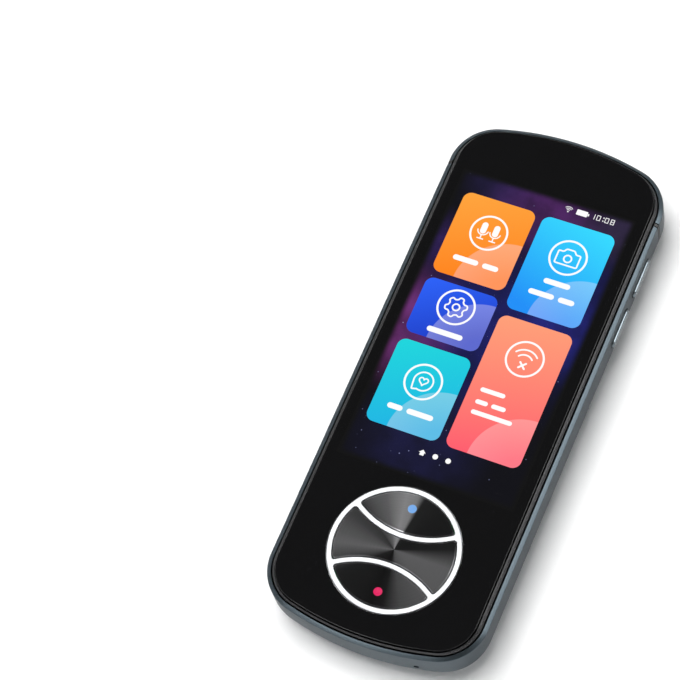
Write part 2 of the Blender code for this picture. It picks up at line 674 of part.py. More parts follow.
def make_front():
    """Rim with the chassis plate, cover glass and screen module.

    The rim's top slopes up towards the glass; the slope is made twice as wide as the rim, and
    the room for the glass takes its inner half away.
    """
    rim_side = FRAME_SIDE_INSET + FRAME_RIM_SIDE_WIDTH
    rim_end = FRAME_END_INSET + FRAME_RIM_END_WIDTH
    rim_inner = FRONT - FRAME_RIM_BELOW_GLASS
    frame = loft("front_frame", [
        level(body_outline(FRAME_SIDE_INSET, FRAME_END_INSET), CHASSIS_LOW),
        level(body_outline(FRAME_SIDE_INSET, FRAME_END_INSET), rim_inner - FRAME_RIM_DROP),
        level(body_outline(rim_side + FRAME_RIM_SIDE_WIDTH, rim_end + FRAME_RIM_END_WIDTH),
              rim_inner + FRAME_RIM_DROP),
    ], "frame_grey")
    glass_room = slab_cutter("cut_glass_room", body_outline(rim_side, rim_end), SEAT, FRONT + OVERRUN)
    panel_room = slab_cutter(
        "cut_panel_room",
        block(-POCKET_SIDE, POCKET_SIDE, PANEL_LOW_END - SEAT_GAP, PANEL_TOP_END + SEAT_GAP),
        CHASSIS_TOP, SEAT + OVERRUN)
    pad_room = slab_cutter(
        "cut_pad_room", circle(FLANGE_RADIUS + SEAT_GAP, (0, KEYPAD_Y), RING_SIDES),
        CHASSIS_TOP, SEAT + OVERRUN)
    notches = []
    flange_inside = LIP_OUTER - SIDE_KEY_FLANGE - SIDE_KEY_TRAVEL - SEAT_GAP
    for side, y in SIDE_KEYS.values():
        edge = moved(side_key_outline(SIDE_KEY_LIP + SEAT_GAP), y, SIDE_KEY_Z)
        notches.append([sideways(edge, side * flange_inside), sideways(edge, side * (SIDE + OVERRUN))])
    key_notches = cutter("cut_key_notches", notches)
    half_socket = SOCKET_WIDTH / 2 + SEAT_GAP
    socket_notch = slab_cutter(
        "cut_socket_notch", block(-half_socket, half_socket, SOCKET_REAR - SEAT_GAP, TOP_END + OVERRUN),
        CHASSIS_LOW - OVERRUN, SOCKET_Z + SOCKET_HEIGHT / 2 + SEAT_GAP)
    screw_holes = cutter("cut_frame_screw_holes", [
        [level(circle(SCREW_RADIUS + SCREW_CLEARANCE, spot), CHASSIS_LOW - OVERRUN),
         level(circle(SCREW_RADIUS + SCREW_CLEARANCE, spot), CHASSIS_LOW + SCREW_BITE + SEAT_GAP)]
        for spot in SCREW_PLACES.values()
    ])
    for tool in (glass_room, panel_room, pad_room, key_notches, socket_notch, screw_holes):
        boolean(frame, tool)

    glass_side = rim_side + GLASS_CLEARANCE
    glass_end = rim_end + GLASS_CLEARANCE
    glass = loft("cover_glass", [
        level(body_outline(glass_side, glass_end), GLASS_LOW),
        level(body_outline(glass_side, glass_end), FRONT - GLASS_EDGE),
        level(body_outline(glass_side + GLASS_EDGE, glass_end + GLASS_EDGE), FRONT),
    ], "front_glass")
    pad_hole = slab_cutter(
        "cut_pad_hole", circle(RING_RADIUS + KEY_CLEARANCE, (0, KEYPAD_Y), RING_SIDES),
        GLASS_LOW - OVERRUN, FRONT + OVERRUN)
    boolean(glass, pad_hole)

    middle = (PANEL_TOP_END + PANEL_LOW_END) / 2
    slab("display_panel",
         rounded_rectangle(POCKET_SIDE - SEAT_GAP, PANEL_TOP_END - middle, PANEL_CORNER, (0, middle)),
         PANEL_LOW, SEAT, "panel_dark")


def make_keypad():
    """White ring with its two bars, three talk keys, the mat, snap domes and small board."""
    ring_top = FRONT + RING_PROUD
    section = (
        (RING_RADIUS, ring_top),
        (RING_RADIUS, SEAT),
        (FLANGE_RADIUS, SEAT),
        (FLANGE_RADIUS, SEAT - FLANGE_THICKNESS),
        (RING_INNER, SEAT - FLANGE_THICKNESS),
        (RING_INNER, ring_top),
    )
    pad = (0, KEYPAD_Y)
    ring = loft("key_ring", [level(circle(radius, pad, RING_SIDES), z) for radius, z in section],
                "ring_white", closed=True)
    upper_bar = moved(bar_outline(), 0, KEYPAD_Y)
    lower_bar = moved(upside_down(bar_outline()), 0, KEYPAD_Y)
    bars = cutter("join_bars", [
        [level(outline, ring_top - BAR_DEPTH), level(outline, ring_top)]
        for outline in (upper_bar, lower_bar)
    ])
    boolean(ring, bars, "UNION")

    key_top = FRONT + TALK_KEY_PROUD
    key_low = key_top - TALK_KEY_THICKNESS
    shapes = {
        "key_upper": (outer_key_outline, False, DOME_FROM_CENTRE),
        "key_middle": (middle_key_outline, False, 0),
        "key_lower": (outer_key_outline, True, -DOME_FROM_CENTRE),
    }
    for name, (shape, flipped, press_y) in shapes.items():
        loops = []
        for inset, z in ((0, key_low), (0, key_top - TALK_KEY_EDGE), (TALK_KEY_EDGE, key_top)):
            outline = upside_down(shape(inset)) if flipped else shape(inset)
            loops.append(level(moved(outline, 0, KEYPAD_Y), z))
        loft(name, loops, "key_metal", origin=(0, KEYPAD_Y + press_y, key_low))

    mat_top = key_low - TALK_KEY_TRAVEL - TRAVEL_MARGIN
    mat_low = mat_top - MAT_THICKNESS
    mat_radius = RING_INNER - KEY_CLEARANCE
    board_seat = KEY_BOARD_TOP + SEAT_GAP
    mat_sides = RING_SIDES // 2
    mat = slab("keypad_mat", circle(mat_radius, pad, mat_sides), board_seat, mat_top, "silicone_grey")
    mat_room = slab_cutter(
        "cut_mat_room", circle(mat_radius - MAT_RIM_WIDTH, pad, mat_sides), board_seat - OVERRUN, mat_low)
    boolean(mat, mat_room)
    spots = [(0, KEYPAD_Y + DOME_FROM_CENTRE), pad, (0, KEYPAD_Y - DOME_FROM_CENTRE)]
    nubs = cutter("join_nubs", [
        [level(circle(NUB_RADIUS, spot), mat_low - NUB_HEIGHT),
         level(circle(NUB_RADIUS, spot), mat_low + MAT_THICKNESS / 2)]
        for spot in spots
    ])
    boolean(mat, nubs, "UNION")

    for name, spot in zip(("dome_upper", "dome_middle", "dome_lower"), spots):
        loops = [
            level(circle(DOME_RADIUS * math.cos(angle), spot), board_seat + DOME_HEIGHT * math.sin(angle))
            for angle in (0, math.pi / 6, math.pi / 3)
        ]
        loft(name, loops, "spring_steel")
    slab("key_board", circle(FLANGE_RADIUS, pad, mat_sides), KEY_BOARD_LOW, KEY_BOARD_TOP, "board_green")


def make_side_keys():
    """Three side keys with their inner lips, and the switch behind each."""
    cap_face = SIDE + SIDE_KEY_PROUD
    lip_inner = LIP_OUTER - SIDE_KEY_FLANGE
    nub_face = lip_inner - SIDE_KEY_TRAVEL - TRAVEL_MARGIN
    body_face = nub_face - SWITCH_NUB
    switch_z = BOARD_TOP - SWITCH_HEIGHT / 2
    for tag, (side, y) in SIDE_KEYS.items():
        stations = (
            (SIDE_KEY_LIP, lip_inner),
            (SIDE_KEY_LIP, LIP_OUTER),
            (0, LIP_OUTER),
            (0, cap_face - SIDE_KEY_EDGE),
            (-SIDE_KEY_EDGE, cap_face),
        )
        loops = [
            sideways(moved(side_key_outline(grow), y, SIDE_KEY_Z), side * x) for grow, x in stations
        ]
        loft(f"key_{tag}", loops, "side_key_metal", origin=(side * lip_inner, y, SIDE_KEY_Z))

        half_length = SWITCH_LENGTH / 2
        half_height = SWITCH_HEIGHT / 2
        body = block(y - half_length, y + half_length, switch_z - half_height, switch_z + half_height)
        switch = loft(
            f"switch_{tag}",
            [sideways(body, side * (body_face - SWITCH_DEPTH)), sideways(body, side * body_face)],
            "shield_tin")
        half_nub = SWITCH_NUB_LENGTH / 2
        half_tall = SWITCH_NUB_HEIGHT / 2
        nub = block(y - half_nub, y + half_nub, switch_z - half_tall, switch_z + half_tall)
        actuator = cutter(f"join_nub_{tag}", [
            [sideways(nub, side * (body_face - SWITCH_DEPTH / 2)), sideways(nub, side * nub_face)]])
        boolean(switch, actuator, "UNION")


# Inside

def microphone_outer_y():
    """Where the main microphone's outer face lies: inside the end wall at its outer corner."""
    return -end_edge(FRAME_END_INSET, MIC_X + MIC_LENGTH / 2)


def make_sound():
    """Speaker with its foam gasket, main microphone and second microphone."""
    spot = (0, GRILLE_Y)
    gasket_low = FLOOR + SEAT_GAP
    gasket_top = gasket_low + GASKET_THICKNESS
    outline = rounded_rectangle(SPEAKER_LENGTH / 2, SPEAKER_DEPTH / 2, SPEAKER_CORNER, spot)
    slab("speaker", outline, gasket_top + SEAT_GAP, BOARD_TOP, "speaker_black")
    inner = rounded_rectangle(
        SPEAKER_LENGTH / 2 - GASKET_WIDTH, SPEAKER_DEPTH / 2 - GASKET_WIDTH, SPEAKER_CORNER / 2, spot)
    section = ((outline, gasket_low), (outline, gasket_top), (inner, gasket_top), (inner, gasket_low))
    loft("speaker_gasket", [level(shape, z) for shape, z in section], "foam_black", closed=True)

    mic_outer = microphone_outer_y()
    mic_z = FRONT - MIC_BELOW_GLASS
    mic_middle = (MIC_X, mic_outer + MIC_DEPTH / 2)
    slab("microphone", rounded_rectangle(MIC_LENGTH / 2, MIC_DEPTH / 2, MIC_CORNER, mic_middle),
         mic_z - MIC_HEIGHT / 2, mic_z + MIC_HEIGHT / 2, "mic_metal")
    slab("noise_microphone",
         rounded_rectangle(NOISE_MIC_LENGTH / 2, NOISE_MIC_DEPTH / 2, MIC_CORNER, (COLLAR_X, STRIP_Y)),
         FLOOR + SEAT_GAP, FLOOR + SEAT_GAP + NOISE_MIC_HEIGHT, "mic_metal")


def make_boards():
    """Main board with its shields and screws, battery and vibration motor."""
    middle = (BOARD_TOP_END + BOARD_LOW_END) / 2
    board = slab(
        "main_board",
        rounded_rectangle(BOARD_SIDE, BOARD_TOP_END - middle, BOARD_CORNER, (0, middle)),
        BOARD_LOW, BOARD_TOP, "board_green")
    half_socket = SOCKET_WIDTH / 2 + SEAT_GAP
    socket_room = slab_cutter(
        "cut_board_socket", block(-half_socket, half_socket, SOCKET_REAR - SEAT_GAP, TOP_END + OVERRUN),
        BOARD_LOW - OVERRUN, BOARD_TOP + OVERRUN)
    screw_holes = cutter("cut_board_screw_holes", [
        [level(circle(SCREW_RADIUS + SCREW_CLEARANCE, spot), BOARD_LOW - OVERRUN),
         level(circle(SCREW_RADIUS + SCREW_CLEARANCE, spot), BOARD_TOP + OVERRUN)]
        for spot in SCREW_PLACES.values()
    ])
    boolean(board, socket_room)
    boolean(board, screw_holes)

    shield_y = BOARD_LOW_END + SHIELD_FROM_BOARD_END + SHIELD_LENGTH / 2
    shield_x = SHIELD_SPACING / 2 + SHIELD_WIDTH / 2
    for name, side in (("main_shield", -1), ("memory_shield", 1)):
        spot = (side * shield_x, shield_y)
        outer = rounded_rectangle(SHIELD_WIDTH / 2, SHIELD_LENGTH / 2, SHIELD_CORNER, spot)
        inner = rounded_rectangle(
            SHIELD_WIDTH / 2 - SHIELD_WALL, SHIELD_LENGTH / 2 - SHIELD_WALL,
            SHIELD_CORNER - SHIELD_WALL, spot)
        loft(name, [
            level(inner, PARTS_TOP - SHIELD_HEIGHT + SHIELD_WALL),
            level(inner, PARTS_TOP),
            level(outer, PARTS_TOP),
            level(outer, PARTS_TOP - SHIELD_HEIGHT),
        ], "shield_tin")

    low_end = GRILLE_Y + SPEAKER_DEPTH / 2 + SEAT_GAP
    high_end = BOARD_LOW_END - SEAT_GAP
    battery_middle = (low_end + high_end) / 2
    slab("battery",
         rounded_rectangle(SIDE - BATTERY_SIDE_MARGIN, high_end - battery_middle, BATTERY_CORNER,
                           (0, battery_middle)),
         FLOOR + BATTERY_ROOM, BOARD_TOP, "battery_wrap")

    slab("vibration_motor", circle(MOTOR_RADIUS, (-MOTOR_X, STRIP_Y), SMALL_SIDES * 2),
         PARTS_TOP - MOTOR_HEIGHT, PARTS_TOP, "shield_tin")

    for name, spot in SCREW_PLACES.items():
        loft(name, [
            level(circle(SCREW_HEAD_RADIUS, spot), PARTS_TOP - SCREW_HEAD),
            level(circle(SCREW_HEAD_RADIUS, spot), PARTS_TOP),
            level(circle(SCREW_RADIUS, spot), PARTS_TOP),
            level(circle(SCREW_RADIUS, spot), CHASSIS_LOW + SCREW_BITE),
        ], "screw_steel")


def make_socket():
    """The charging socket in the top end: a round-ended tube with a tongue inside."""
    mouth = socket_outline(-SOCKET_WALL)
    floor = SOCKET_REAR + SOCKET_BACK
    socket = loft("usb_socket", [
        upright(mouth, floor),
        upright(mouth, SOCKET_MOUTH),
        upright(socket_outline(), SOCKET_MOUTH),
        upright(socket_outline(), SOCKET_REAR),
    ], "socket_steel")
    half_width = TONGUE_WIDTH / 2
    half_thick = TONGUE_THICKNESS / 2
    tongue = cutter("join_tongue", [[
        upright(block(-half_width, half_width, SOCKET_Z - half_thick, SOCKET_Z + half_thick), y)
        for y in (floor - SOCKET_BACK / 2, SOCKET_MOUTH - TONGUE_SETBACK)
    ]])
    boolean(socket, tongue, "UNION")


def group_pieces():
    """Hang every piece and guide on one empty at the origin."""
    root = bpy.data.objects.new("translator", None)
    pieces = list(bpy.data.objects)
    bpy.context.scene.collection.objects.link(root)
    for obj in pieces:
        if obj is not root:
            obj.parent = root


def main():
    """Build the translator from its outer shell to its inner parts."""
    clear_scene()
    make_shell()
    make_camera()
    make_front()
    make_keypad()
    make_side_keys()
    make_sound()
    make_boards()
    make_socket()
    group_pieces()


main()
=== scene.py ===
"""Looks of a handheld translator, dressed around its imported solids.

The device lies on its back, screen up. +X is its right side, +Y its top end and +Z comes out
of the glass. Sizes are in metres, colours are sRGB hex values, and every piece is made in
place, so that its object stays at the origin.
"""

import logging
import math
from dataclasses import dataclass
from enum import Enum
from typing import Callable, Sequence

import bmesh
import bpy
import numpy as np
from mathutils import Euler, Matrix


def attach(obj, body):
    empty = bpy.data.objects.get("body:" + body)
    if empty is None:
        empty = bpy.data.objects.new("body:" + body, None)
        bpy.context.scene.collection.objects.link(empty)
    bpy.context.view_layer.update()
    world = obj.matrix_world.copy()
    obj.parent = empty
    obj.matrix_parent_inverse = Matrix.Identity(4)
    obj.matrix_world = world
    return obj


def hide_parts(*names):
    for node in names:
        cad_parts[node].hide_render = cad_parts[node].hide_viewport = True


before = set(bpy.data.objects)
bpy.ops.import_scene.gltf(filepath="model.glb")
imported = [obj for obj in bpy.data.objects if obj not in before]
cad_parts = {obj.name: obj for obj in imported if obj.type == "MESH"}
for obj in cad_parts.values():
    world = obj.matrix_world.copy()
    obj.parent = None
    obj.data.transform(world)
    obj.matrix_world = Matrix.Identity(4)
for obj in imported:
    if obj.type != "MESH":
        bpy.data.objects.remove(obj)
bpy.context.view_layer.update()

LOG = logging.getLogger("translator")
ROOT_BODY = "device"
Wire = bpy.types.NodeSocket

SMOOTH_ANGLE = math.radians(32)
TURN = 2 * math.pi
DOWN = -math.pi / 2
MM = 0.001
DOUBLE = 1e-8  # points closer than this are one point
ROUND_END = np.radians([20, 40, 60, 75, 86])  # where a drawn line's round end has points


# Finishes: what each material is, and how its surface was made

VALUE_SUMS = ("LENGTH", "DISTANCE", "DOT_PRODUCT")  # sums of vectors that give a value


def linear(colour: str) -> tuple[float, float, float, float]:
    """Turn an sRGB hex colour to linear values.

    Args:
        colour: Six hex digits, with or without a leading hash.

    Returns:
        Red, green, blue and alpha, where alpha is 1.
    """
    digits = colour.lstrip("#")
    levels = [int(digits[k:k + 2], 16) / 255 for k in (0, 2, 4)]
    red, green, blue = [
        level / 12.92 if level <= 0.04045 else ((level + 0.055) / 1.055) ** 2.4 for level in levels
    ]
    return red, green, blue, 1.0


class Palette:
    """One material's node tree, with the shader that its pattern feeds."""

    def __init__(self, name: str) -> None:
        """Start a material that holds a plain shader."""
        self.material = bpy.data.materials.new(name)
        self.material.use_nodes = True
        self.tree = self.material.node_tree
        self.shader = self.tree.nodes["Principled BSDF"]

    def add(self, kind: str, values: dict | None = None, **settings) -> bpy.types.Node:
        """Add a node with its settings, plain values and links.

        Args:
            kind: The node's type name.
            values: Socket name or index to a value, or to the socket that feeds it.
            settings: Properties of the node itself.

        Returns:
            The new node.
        """
        node = self.tree.nodes.new(kind)
        for key, value in settings.items():
            setattr(node, key, value)
        for key, value in (values or {}).items():
            if isinstance(value, Wire):
                self.tree.links.new(value, node.inputs[key])
            else:
                node.inputs[key].default_value = value
        return node

    def hold(self, values: dict) -> None:
        """Set sockets of the shader to plain values."""
        for socket, value in values.items():
            self.shader.inputs[socket].default_value = value

    def feed(self, socket: str, source: Wire) -> None:
        """Link a pattern to one of the shader's sockets."""
        self.tree.links.new(source, self.shader.inputs[socket])

    def place(self) -> Wire:
        """The point's place on the device, in metres."""
        return self.add("ShaderNodeTexCoord").outputs["Object"]

    def flat(self) -> Wire:
        """The point's place with its height left out."""
        return self.vector("MULTIPLY", self.place(), (1, 1, 0))

    def vector(self, operation: str, first, second=(0, 0, 0)) -> Wire:
        """One sum of two vectors; lengths, distances and dot products come out as a value."""
        node = self.add("ShaderNodeVectorMath", {0: first, 1: second}, operation=operation)
        return node.outputs["Value" if operation in VALUE_SUMS else "Vector"]

    def maths(self, operation: str, first, second=0.0) -> Wire:
        """One sum of two values."""
        return self.add("ShaderNodeMath", {0: first, 1: second}, operation=operation).outputs[0]

    def noise(self, grain: float, detail: float = 2.0, place=None) -> Wire:
        """A cloudy value about 0.5.

        Args:
            grain: Size of one cloud, in metres.
            detail: How many finer layers lie on it.
            place: The place to read, if not the plain one.

        Returns:
            The value's socket.
        """
        values = {"Vector": place or self.place(), "Scale": 1 / grain, "Detail": detail}
        return self.add("ShaderNodeTexNoise", values).outputs["Fac"]

    def cells(self, size: float, place=None, **settings) -> bpy.types.bpy_prop_collection:
        """Outputs of a cell pattern: the distance to each cell's middle, and its own colour."""
        values = {"Vector": place or self.place(), "Scale": 1 / size}
        return self.add("ShaderNodeTexVoronoi", values, **settings).outputs

    def spread(
            self, source: Wire, low: float, high: float, floor: float = 0.3,
            ceiling: float = 0.7, smooth: bool = False) -> Wire:
        """Map a value from one range to another, held at its ends.

        Args:
            source: The value's socket.
            low: What the floor becomes.
            high: What the ceiling becomes.
            floor: Where the value's own range starts.
            ceiling: Where it ends.
            smooth: Whether the run is eased at both ends.

        Returns:
            The mapped value's socket.
        """
        kind = "SMOOTHSTEP" if smooth else "LINEAR"
        values = {"Value": source, 1: floor, 2: ceiling, 3: low, 4: high}
        return self.add("ShaderNodeMapRange", values, interpolation_type=kind).outputs[0]

    def mix(self, share, first, second, blend: str = "MIX") -> Wire:
        """Mix two colours, each a hex value or a socket.

        Args:
            share: How much of the second colour there is, as a value or a socket.
            first: The first colour.
            second: The second colour.
            blend: How the second colour goes on the first.

        Returns:
            The colour's socket.
        """
        first = linear(first) if isinstance(first, str) else first
        second = linear(second) if isinstance(second, str) else second
        values = {0: share, 6: first, 7: second}
        return self.add("ShaderNodeMix", values, data_type="RGBA", blend_type=blend).outputs[2]

    def tone(self, source, colour: str, low: float, high: float) -> Wire:
        """A colour that a pattern shades from one share of it to another."""
        return self.mix(self.spread(source, 0, 1), shade(colour, low), shade(colour, high))

    def gloss(self, source, roughness: float, low: float, high: float) -> None:
        """Let the roughness follow a pattern, between two amounts added to it."""
        self.feed("Roughness", self.spread(source, roughness + low, roughness + high))

    def bump(self, height, depth: float) -> None:
        """Raise and lower the surface by a pattern, by a depth in metres."""
        node = self.add("ShaderNodeBump", {"Height": height, "Distance": depth, "Strength": 1.0})
        self.feed("Normal", node.outputs[0])


@dataclass(frozen=True)
class Finish:
    """A material's own values; its pattern is added by each kind of finish."""

    name: str
    colour: str
    roughness: float = 0.4
    metallic: float = 0.0
    coat: float = 0.0
    anisotropy: float = 0.0
    specular: float = 0.5
    edge_tint: str = "#ffffff"

    def make(self) -> bpy.types.Material:
        """Build the material, or give the one made before.

        Returns:
            The material.
        """
        made = bpy.data.materials.get(self.name)
        if made is not None:
            return made
        palette = Palette(self.name)
        palette.hold({
            "Base Color": linear(self.colour), "Roughness": self.roughness, "Metallic": self.metallic,
            "Coat Weight": self.coat, "Anisotropic": self.anisotropy,
            "Specular IOR Level": self.specular, "Specular Tint": linear(self.edge_tint),
        })
        self.pattern(palette)
        return palette.material

    def pattern(self, palette: Palette) -> None:
        """Moulded plastic: a fine even grain of 0.15 mm and slow patches in its gloss.

        Args:
            palette: The tree to add to.
        """
        grain = palette.noise(0.15 * MM)
        patches = palette.noise(9 * MM, 3)
        swing = 0.15 * self.roughness
        palette.gloss(patches, self.roughness, -swing, swing)
        palette.feed("Base Color", palette.tone(patches, self.colour, 0.92, 1))
        palette.bump(grain, 2e-6)


def shade(colour: str, share: float) -> str:
    """A darker or lighter neighbour of a hex colour."""
    digits = colour.lstrip("#")
    levels = [min(255, round(int(digits[k:k + 2], 16) * share)) for k in (0, 2, 4)]
    return "#{:02x}{:02x}{:02x}".format(*levels)


@dataclass(frozen=True)
class SprayedMetal(Finish):
    """Metallic coat sprayed on aluminium: flakes of 0.2 mm catch the light one by one."""

    flake: float = 0.2 * MM

    def pattern(self, palette: Palette) -> None:
        """Flakes lighten and darken the coat, and a slow drift keeps it from looking flat.

        Args:
            palette: The tree to add to.
        """
        flakes = palette.noise(self.flake, 1)
        drift = palette.noise(25 * MM, 2)
        sparkle = palette.spread(flakes, 0.0, 1.0, 0.25, 0.75)
        coat = palette.mix(sparkle, shade(self.colour, 0.86), shade(self.colour, 1.14))
        toned = palette.mix(palette.spread(drift, 0.0, 0.5), coat, shade(self.colour, 1.05))
        palette.feed("Base Color", toned)
        palette.gloss(flakes, self.roughness, -0.05, 0.06)
        palette.bump(flakes, 1.2e-6)


@dataclass(frozen=True)
class TurnedMetal(Finish):
    """Aluminium face turned on a lathe: fine rings round a centre, with painted highlights and shade in
    sectors by angle.
    """

    centre: tuple[float, float, float] = (0, 0, 0)
    pitch: float = 0.16 * MM
    # painted highlights and shade: levels by angle in degrees that multiply the face's colour
    painted_highlight_stops: tuple[tuple[float, float], ...] = ((0, 1),)

    def pattern(self, palette: Palette) -> None:
        """Grooves run round the centre, so that light spreads along the arm from it.

        The rings come from the arm's length. Painted highlights and shade come from its angle, by stops
        in degrees that multiply the colour.

        Args:
            palette: The tree to add to.
        """
        arm = palette.vector("SUBTRACT", palette.place(), self.centre)
        flat = palette.vector("MULTIPLY", arm, (1, 1, 0))
        palette.feed("Tangent", palette.vector("NORMALIZE", flat))
        turns = palette.maths("DIVIDE", palette.vector("LENGTH", flat), self.pitch)
        rings = palette.noise(1.0, 3.0, palette.add("ShaderNodeCombineXYZ", {0: turns}).outputs[0])
        sides = palette.add("ShaderNodeSeparateXYZ", {0: flat}).outputs
        angle = palette.maths("ARCTAN2", sides[1], sides[0])
        # painted highlight and shade: a ramp of levels by the angle round the centre
        ramp = palette.add("ShaderNodeValToRGB", {0: palette.spread(angle, 0, 1, -math.pi, math.pi)})
        stops = ramp.color_ramp.elements
        stops.remove(stops[1])
        for degrees, level in self.painted_highlight_stops:
            stops.new(degrees / 360 + 0.5).color = (level, level, level, 1)
        stops.remove(stops[0])
        tone = palette.tone(rings, self.colour, 0.96, 1.04)
        palette.feed("Base Color", palette.mix(1.0, tone, ramp.outputs[0], "MULTIPLY"))
        palette.gloss(rings, self.roughness, -0.02, 0.02)


@dataclass(frozen=True)
class Polished(Finish):
    """Chrome plate or glass: all but even, with faint wipe marks in its gloss."""

    wipe: float = 0.04

    def pattern(self, palette: Palette) -> None:
        """Slow soft marks roughen the gloss a little.

        Args:
            palette: The tree to add to.
        """
        marks = palette.noise(12 * MM, 4)
        palette.gloss(marks, self.roughness, 0, self.wipe)
        palette.feed("Base Color", palette.tone(marks, self.colour, 0.96, 1))


@dataclass(frozen=True)
class DrawnMetal(Finish):
    """Sheet steel or tin plate: rolled along the body, so its streaks run along Y."""

    def pattern(self, palette: Palette) -> None:
        """Noise stretched twenty times along Y gives the streaks.

        Args:
            palette: The tree to add to.
        """
        stretched = palette.vector("MULTIPLY", palette.place(), (1, 0.05, 1))
        streaks = palette.noise(0.2 * MM, 3, stretched)
        palette.feed("Base Color", palette.tone(streaks, self.colour, 0.85, 1.1))
        palette.gloss(streaks, self.roughness, -0.06, 0.08)
        palette.bump(streaks, 1e-6)


@dataclass(frozen=True)
class Laminate(Finish):
    """Glass-fibre board under solder mask: a faint weave of 0.5 mm and copper that shows through."""

    copper: str = "#2f7d4a"

    def pattern(self, palette: Palette) -> None:
        """Copper lies in square patches; the weave is two crossed waves.

        Args:
            palette: The tree to add to.
        """
        place = palette.place()
        cells = palette.cells(1.6 * MM, place, distance="CHEBYCHEV")
        traces = palette.spread(cells["Distance"], 1.0, 0.0, 0.42, 0.46)
        values = {"Vector": place, "Scale": 1 / (3 * MM), "Distortion": 0.4}
        weave = palette.add("ShaderNodeTexWave", values).outputs["Fac"]
        tone = palette.mix(traces, self.colour, self.copper)
        dark = palette.spread(weave, 0.0, 0.12, 0, 1)
        palette.feed("Base Color", palette.mix(dark, tone, "#0a3018"))
        palette.bump(traces, 8e-6)


@dataclass(frozen=True)
class Foam(Finish):
    """Open-cell foam: pores of 0.3 mm."""

    def pattern(self, palette: Palette) -> None:
        """Pores are the middles of small cells, darkened by painted shade.

        Args:
            palette: The tree to add to.
        """
        pores = palette.cells(0.3 * MM)["Distance"]
        # painted shade: the pore middles are darkened to half the colour
        palette.feed("Base Color", palette.mix(pores, shade(self.colour, 0.5), self.colour))
        palette.bump(pores, 4e-5)


@dataclass(frozen=True)
class Lit(Finish):
    """A patch of the lit screen: colour that glows as it is written, under the glass's gloss."""

    strength: float = 1.0

    def glow(self, palette: Palette) -> Wire | str:
        """The colour that the patch gives off.

        Args:
            palette: The tree to add to.

        Returns:
            The colour, as a hex value or a socket.
        """
        ripple = palette.noise(0.7 * MM, 1)
        return palette.mix(palette.spread(ripple, 0, 0.03), self.colour, "#ffffff")

    def pattern(self, palette: Palette) -> None:
        """Black under the glow, so that the lamps add no colour of their own.

        Args:
            palette: The tree to add to.
        """
        palette.hold({"Base Color": linear("#020202"), "Emission Strength": self.strength})
        palette.feed("Emission Color", self.glow(palette))


@dataclass(frozen=True)
class LitTile(Lit):
    """A tile that runs from one colour to another, with a lighter disc in its lower corner."""

    far_colour: str = "#ffffff"
    start: tuple[float, float] = (0, 0)
    end: tuple[float, float] = (1, 1)
    corner: tuple[float, float] = (0, 0)
    disc: float = 10.7 * MM
    edge: float = 0.06 * MM
    lift: float = 0.17

    def glow(self, palette: Palette) -> Wire:
        """Colour by how far the point lies from start to end; disc by its distance to the corner.

        Args:
            palette: The tree to add to.

        Returns:
            The colour, as a hex value or a socket.
        """
        run = np.subtract(self.end, self.start)
        arm = palette.vector("SUBTRACT", palette.place(), (*self.start, 0))
        along = palette.vector("DOT_PRODUCT", arm, (*(run / (run @ run)), 0))
        colour = palette.mix(palette.spread(along, 0, 1, 0, 1), self.colour, self.far_colour)
        reach = palette.vector("DISTANCE", palette.flat(), (*self.corner, 0))
        inside = palette.spread(reach, 1, 0, self.disc - self.edge, self.disc + self.edge)
        fade = palette.spread(reach, 0.1, self.lift, 0.25 * self.disc, self.disc)
        return palette.mix(palette.maths("MULTIPLY", inside, fade), colour, "#ffffff")


@dataclass(frozen=True)
class Cloud:
    """One soft patch of colour in the night sky, in millimetres."""

    x: float
    y: float
    reach: float
    colour: str


@dataclass(frozen=True)
class NightSky(Lit):
    """The screen's ground: dark sky with soft clouds and small stars, black at its edges."""

    clouds: tuple[Cloud, ...] = ()
    middle: tuple[float, float] = (0, 0)
    half: tuple[float, float] = (1, 1)
    fades: tuple[float, float] = (1.5 * MM, 1.6 * MM)

    def glow(self, palette: Palette) -> Wire:
        """Each cloud falls off with distance; noise breaks them up; stars sit in sparse cells.

        Args:
            palette: The tree to add to.

        Returns:
            The colour, as a hex value or a socket.
        """
        flat = palette.flat()
        wisps = palette.spread(palette.noise(7 * MM, 5, flat), 0.45, 1.25)
        sky = linear(self.colour)
        for cloud in self.clouds:
            reach = palette.vector("DISTANCE", flat, (cloud.x * MM, cloud.y * MM, 0))
            share = palette.spread(reach, 1, 0, 0, cloud.reach * MM, True)
            sky = palette.mix(palette.maths("MULTIPLY", share, wisps), sky, cloud.colour, "ADD")
        cells = palette.cells(1.7 * MM, flat)
        points = palette.spread(cells["Distance"], 1, 0, 0.03, 0.09)
        levels = palette.add("ShaderNodeSeparateColor", {0: cells["Color"]}).outputs
        chosen = palette.spread(levels[0], 0, 0.8, 0.4, 1)
        sky = palette.mix(palette.maths("MULTIPLY", points, chosen), sky, "#9fa6d8", "ADD")
        arm = palette.vector("SUBTRACT", flat, (*self.middle, 0))
        sides = palette.add("ShaderNodeSeparateXYZ", {0: arm}).outputs
        lit = 1.0
        for side, half, fade in zip(sides, self.half, self.fades):
            share = palette.spread(palette.maths("ABSOLUTE", side), 1, 0, half - fade, half, True)
            lit = palette.maths("MULTIPLY", lit, share)
        return palette.mix(lit, "#080808", sky)


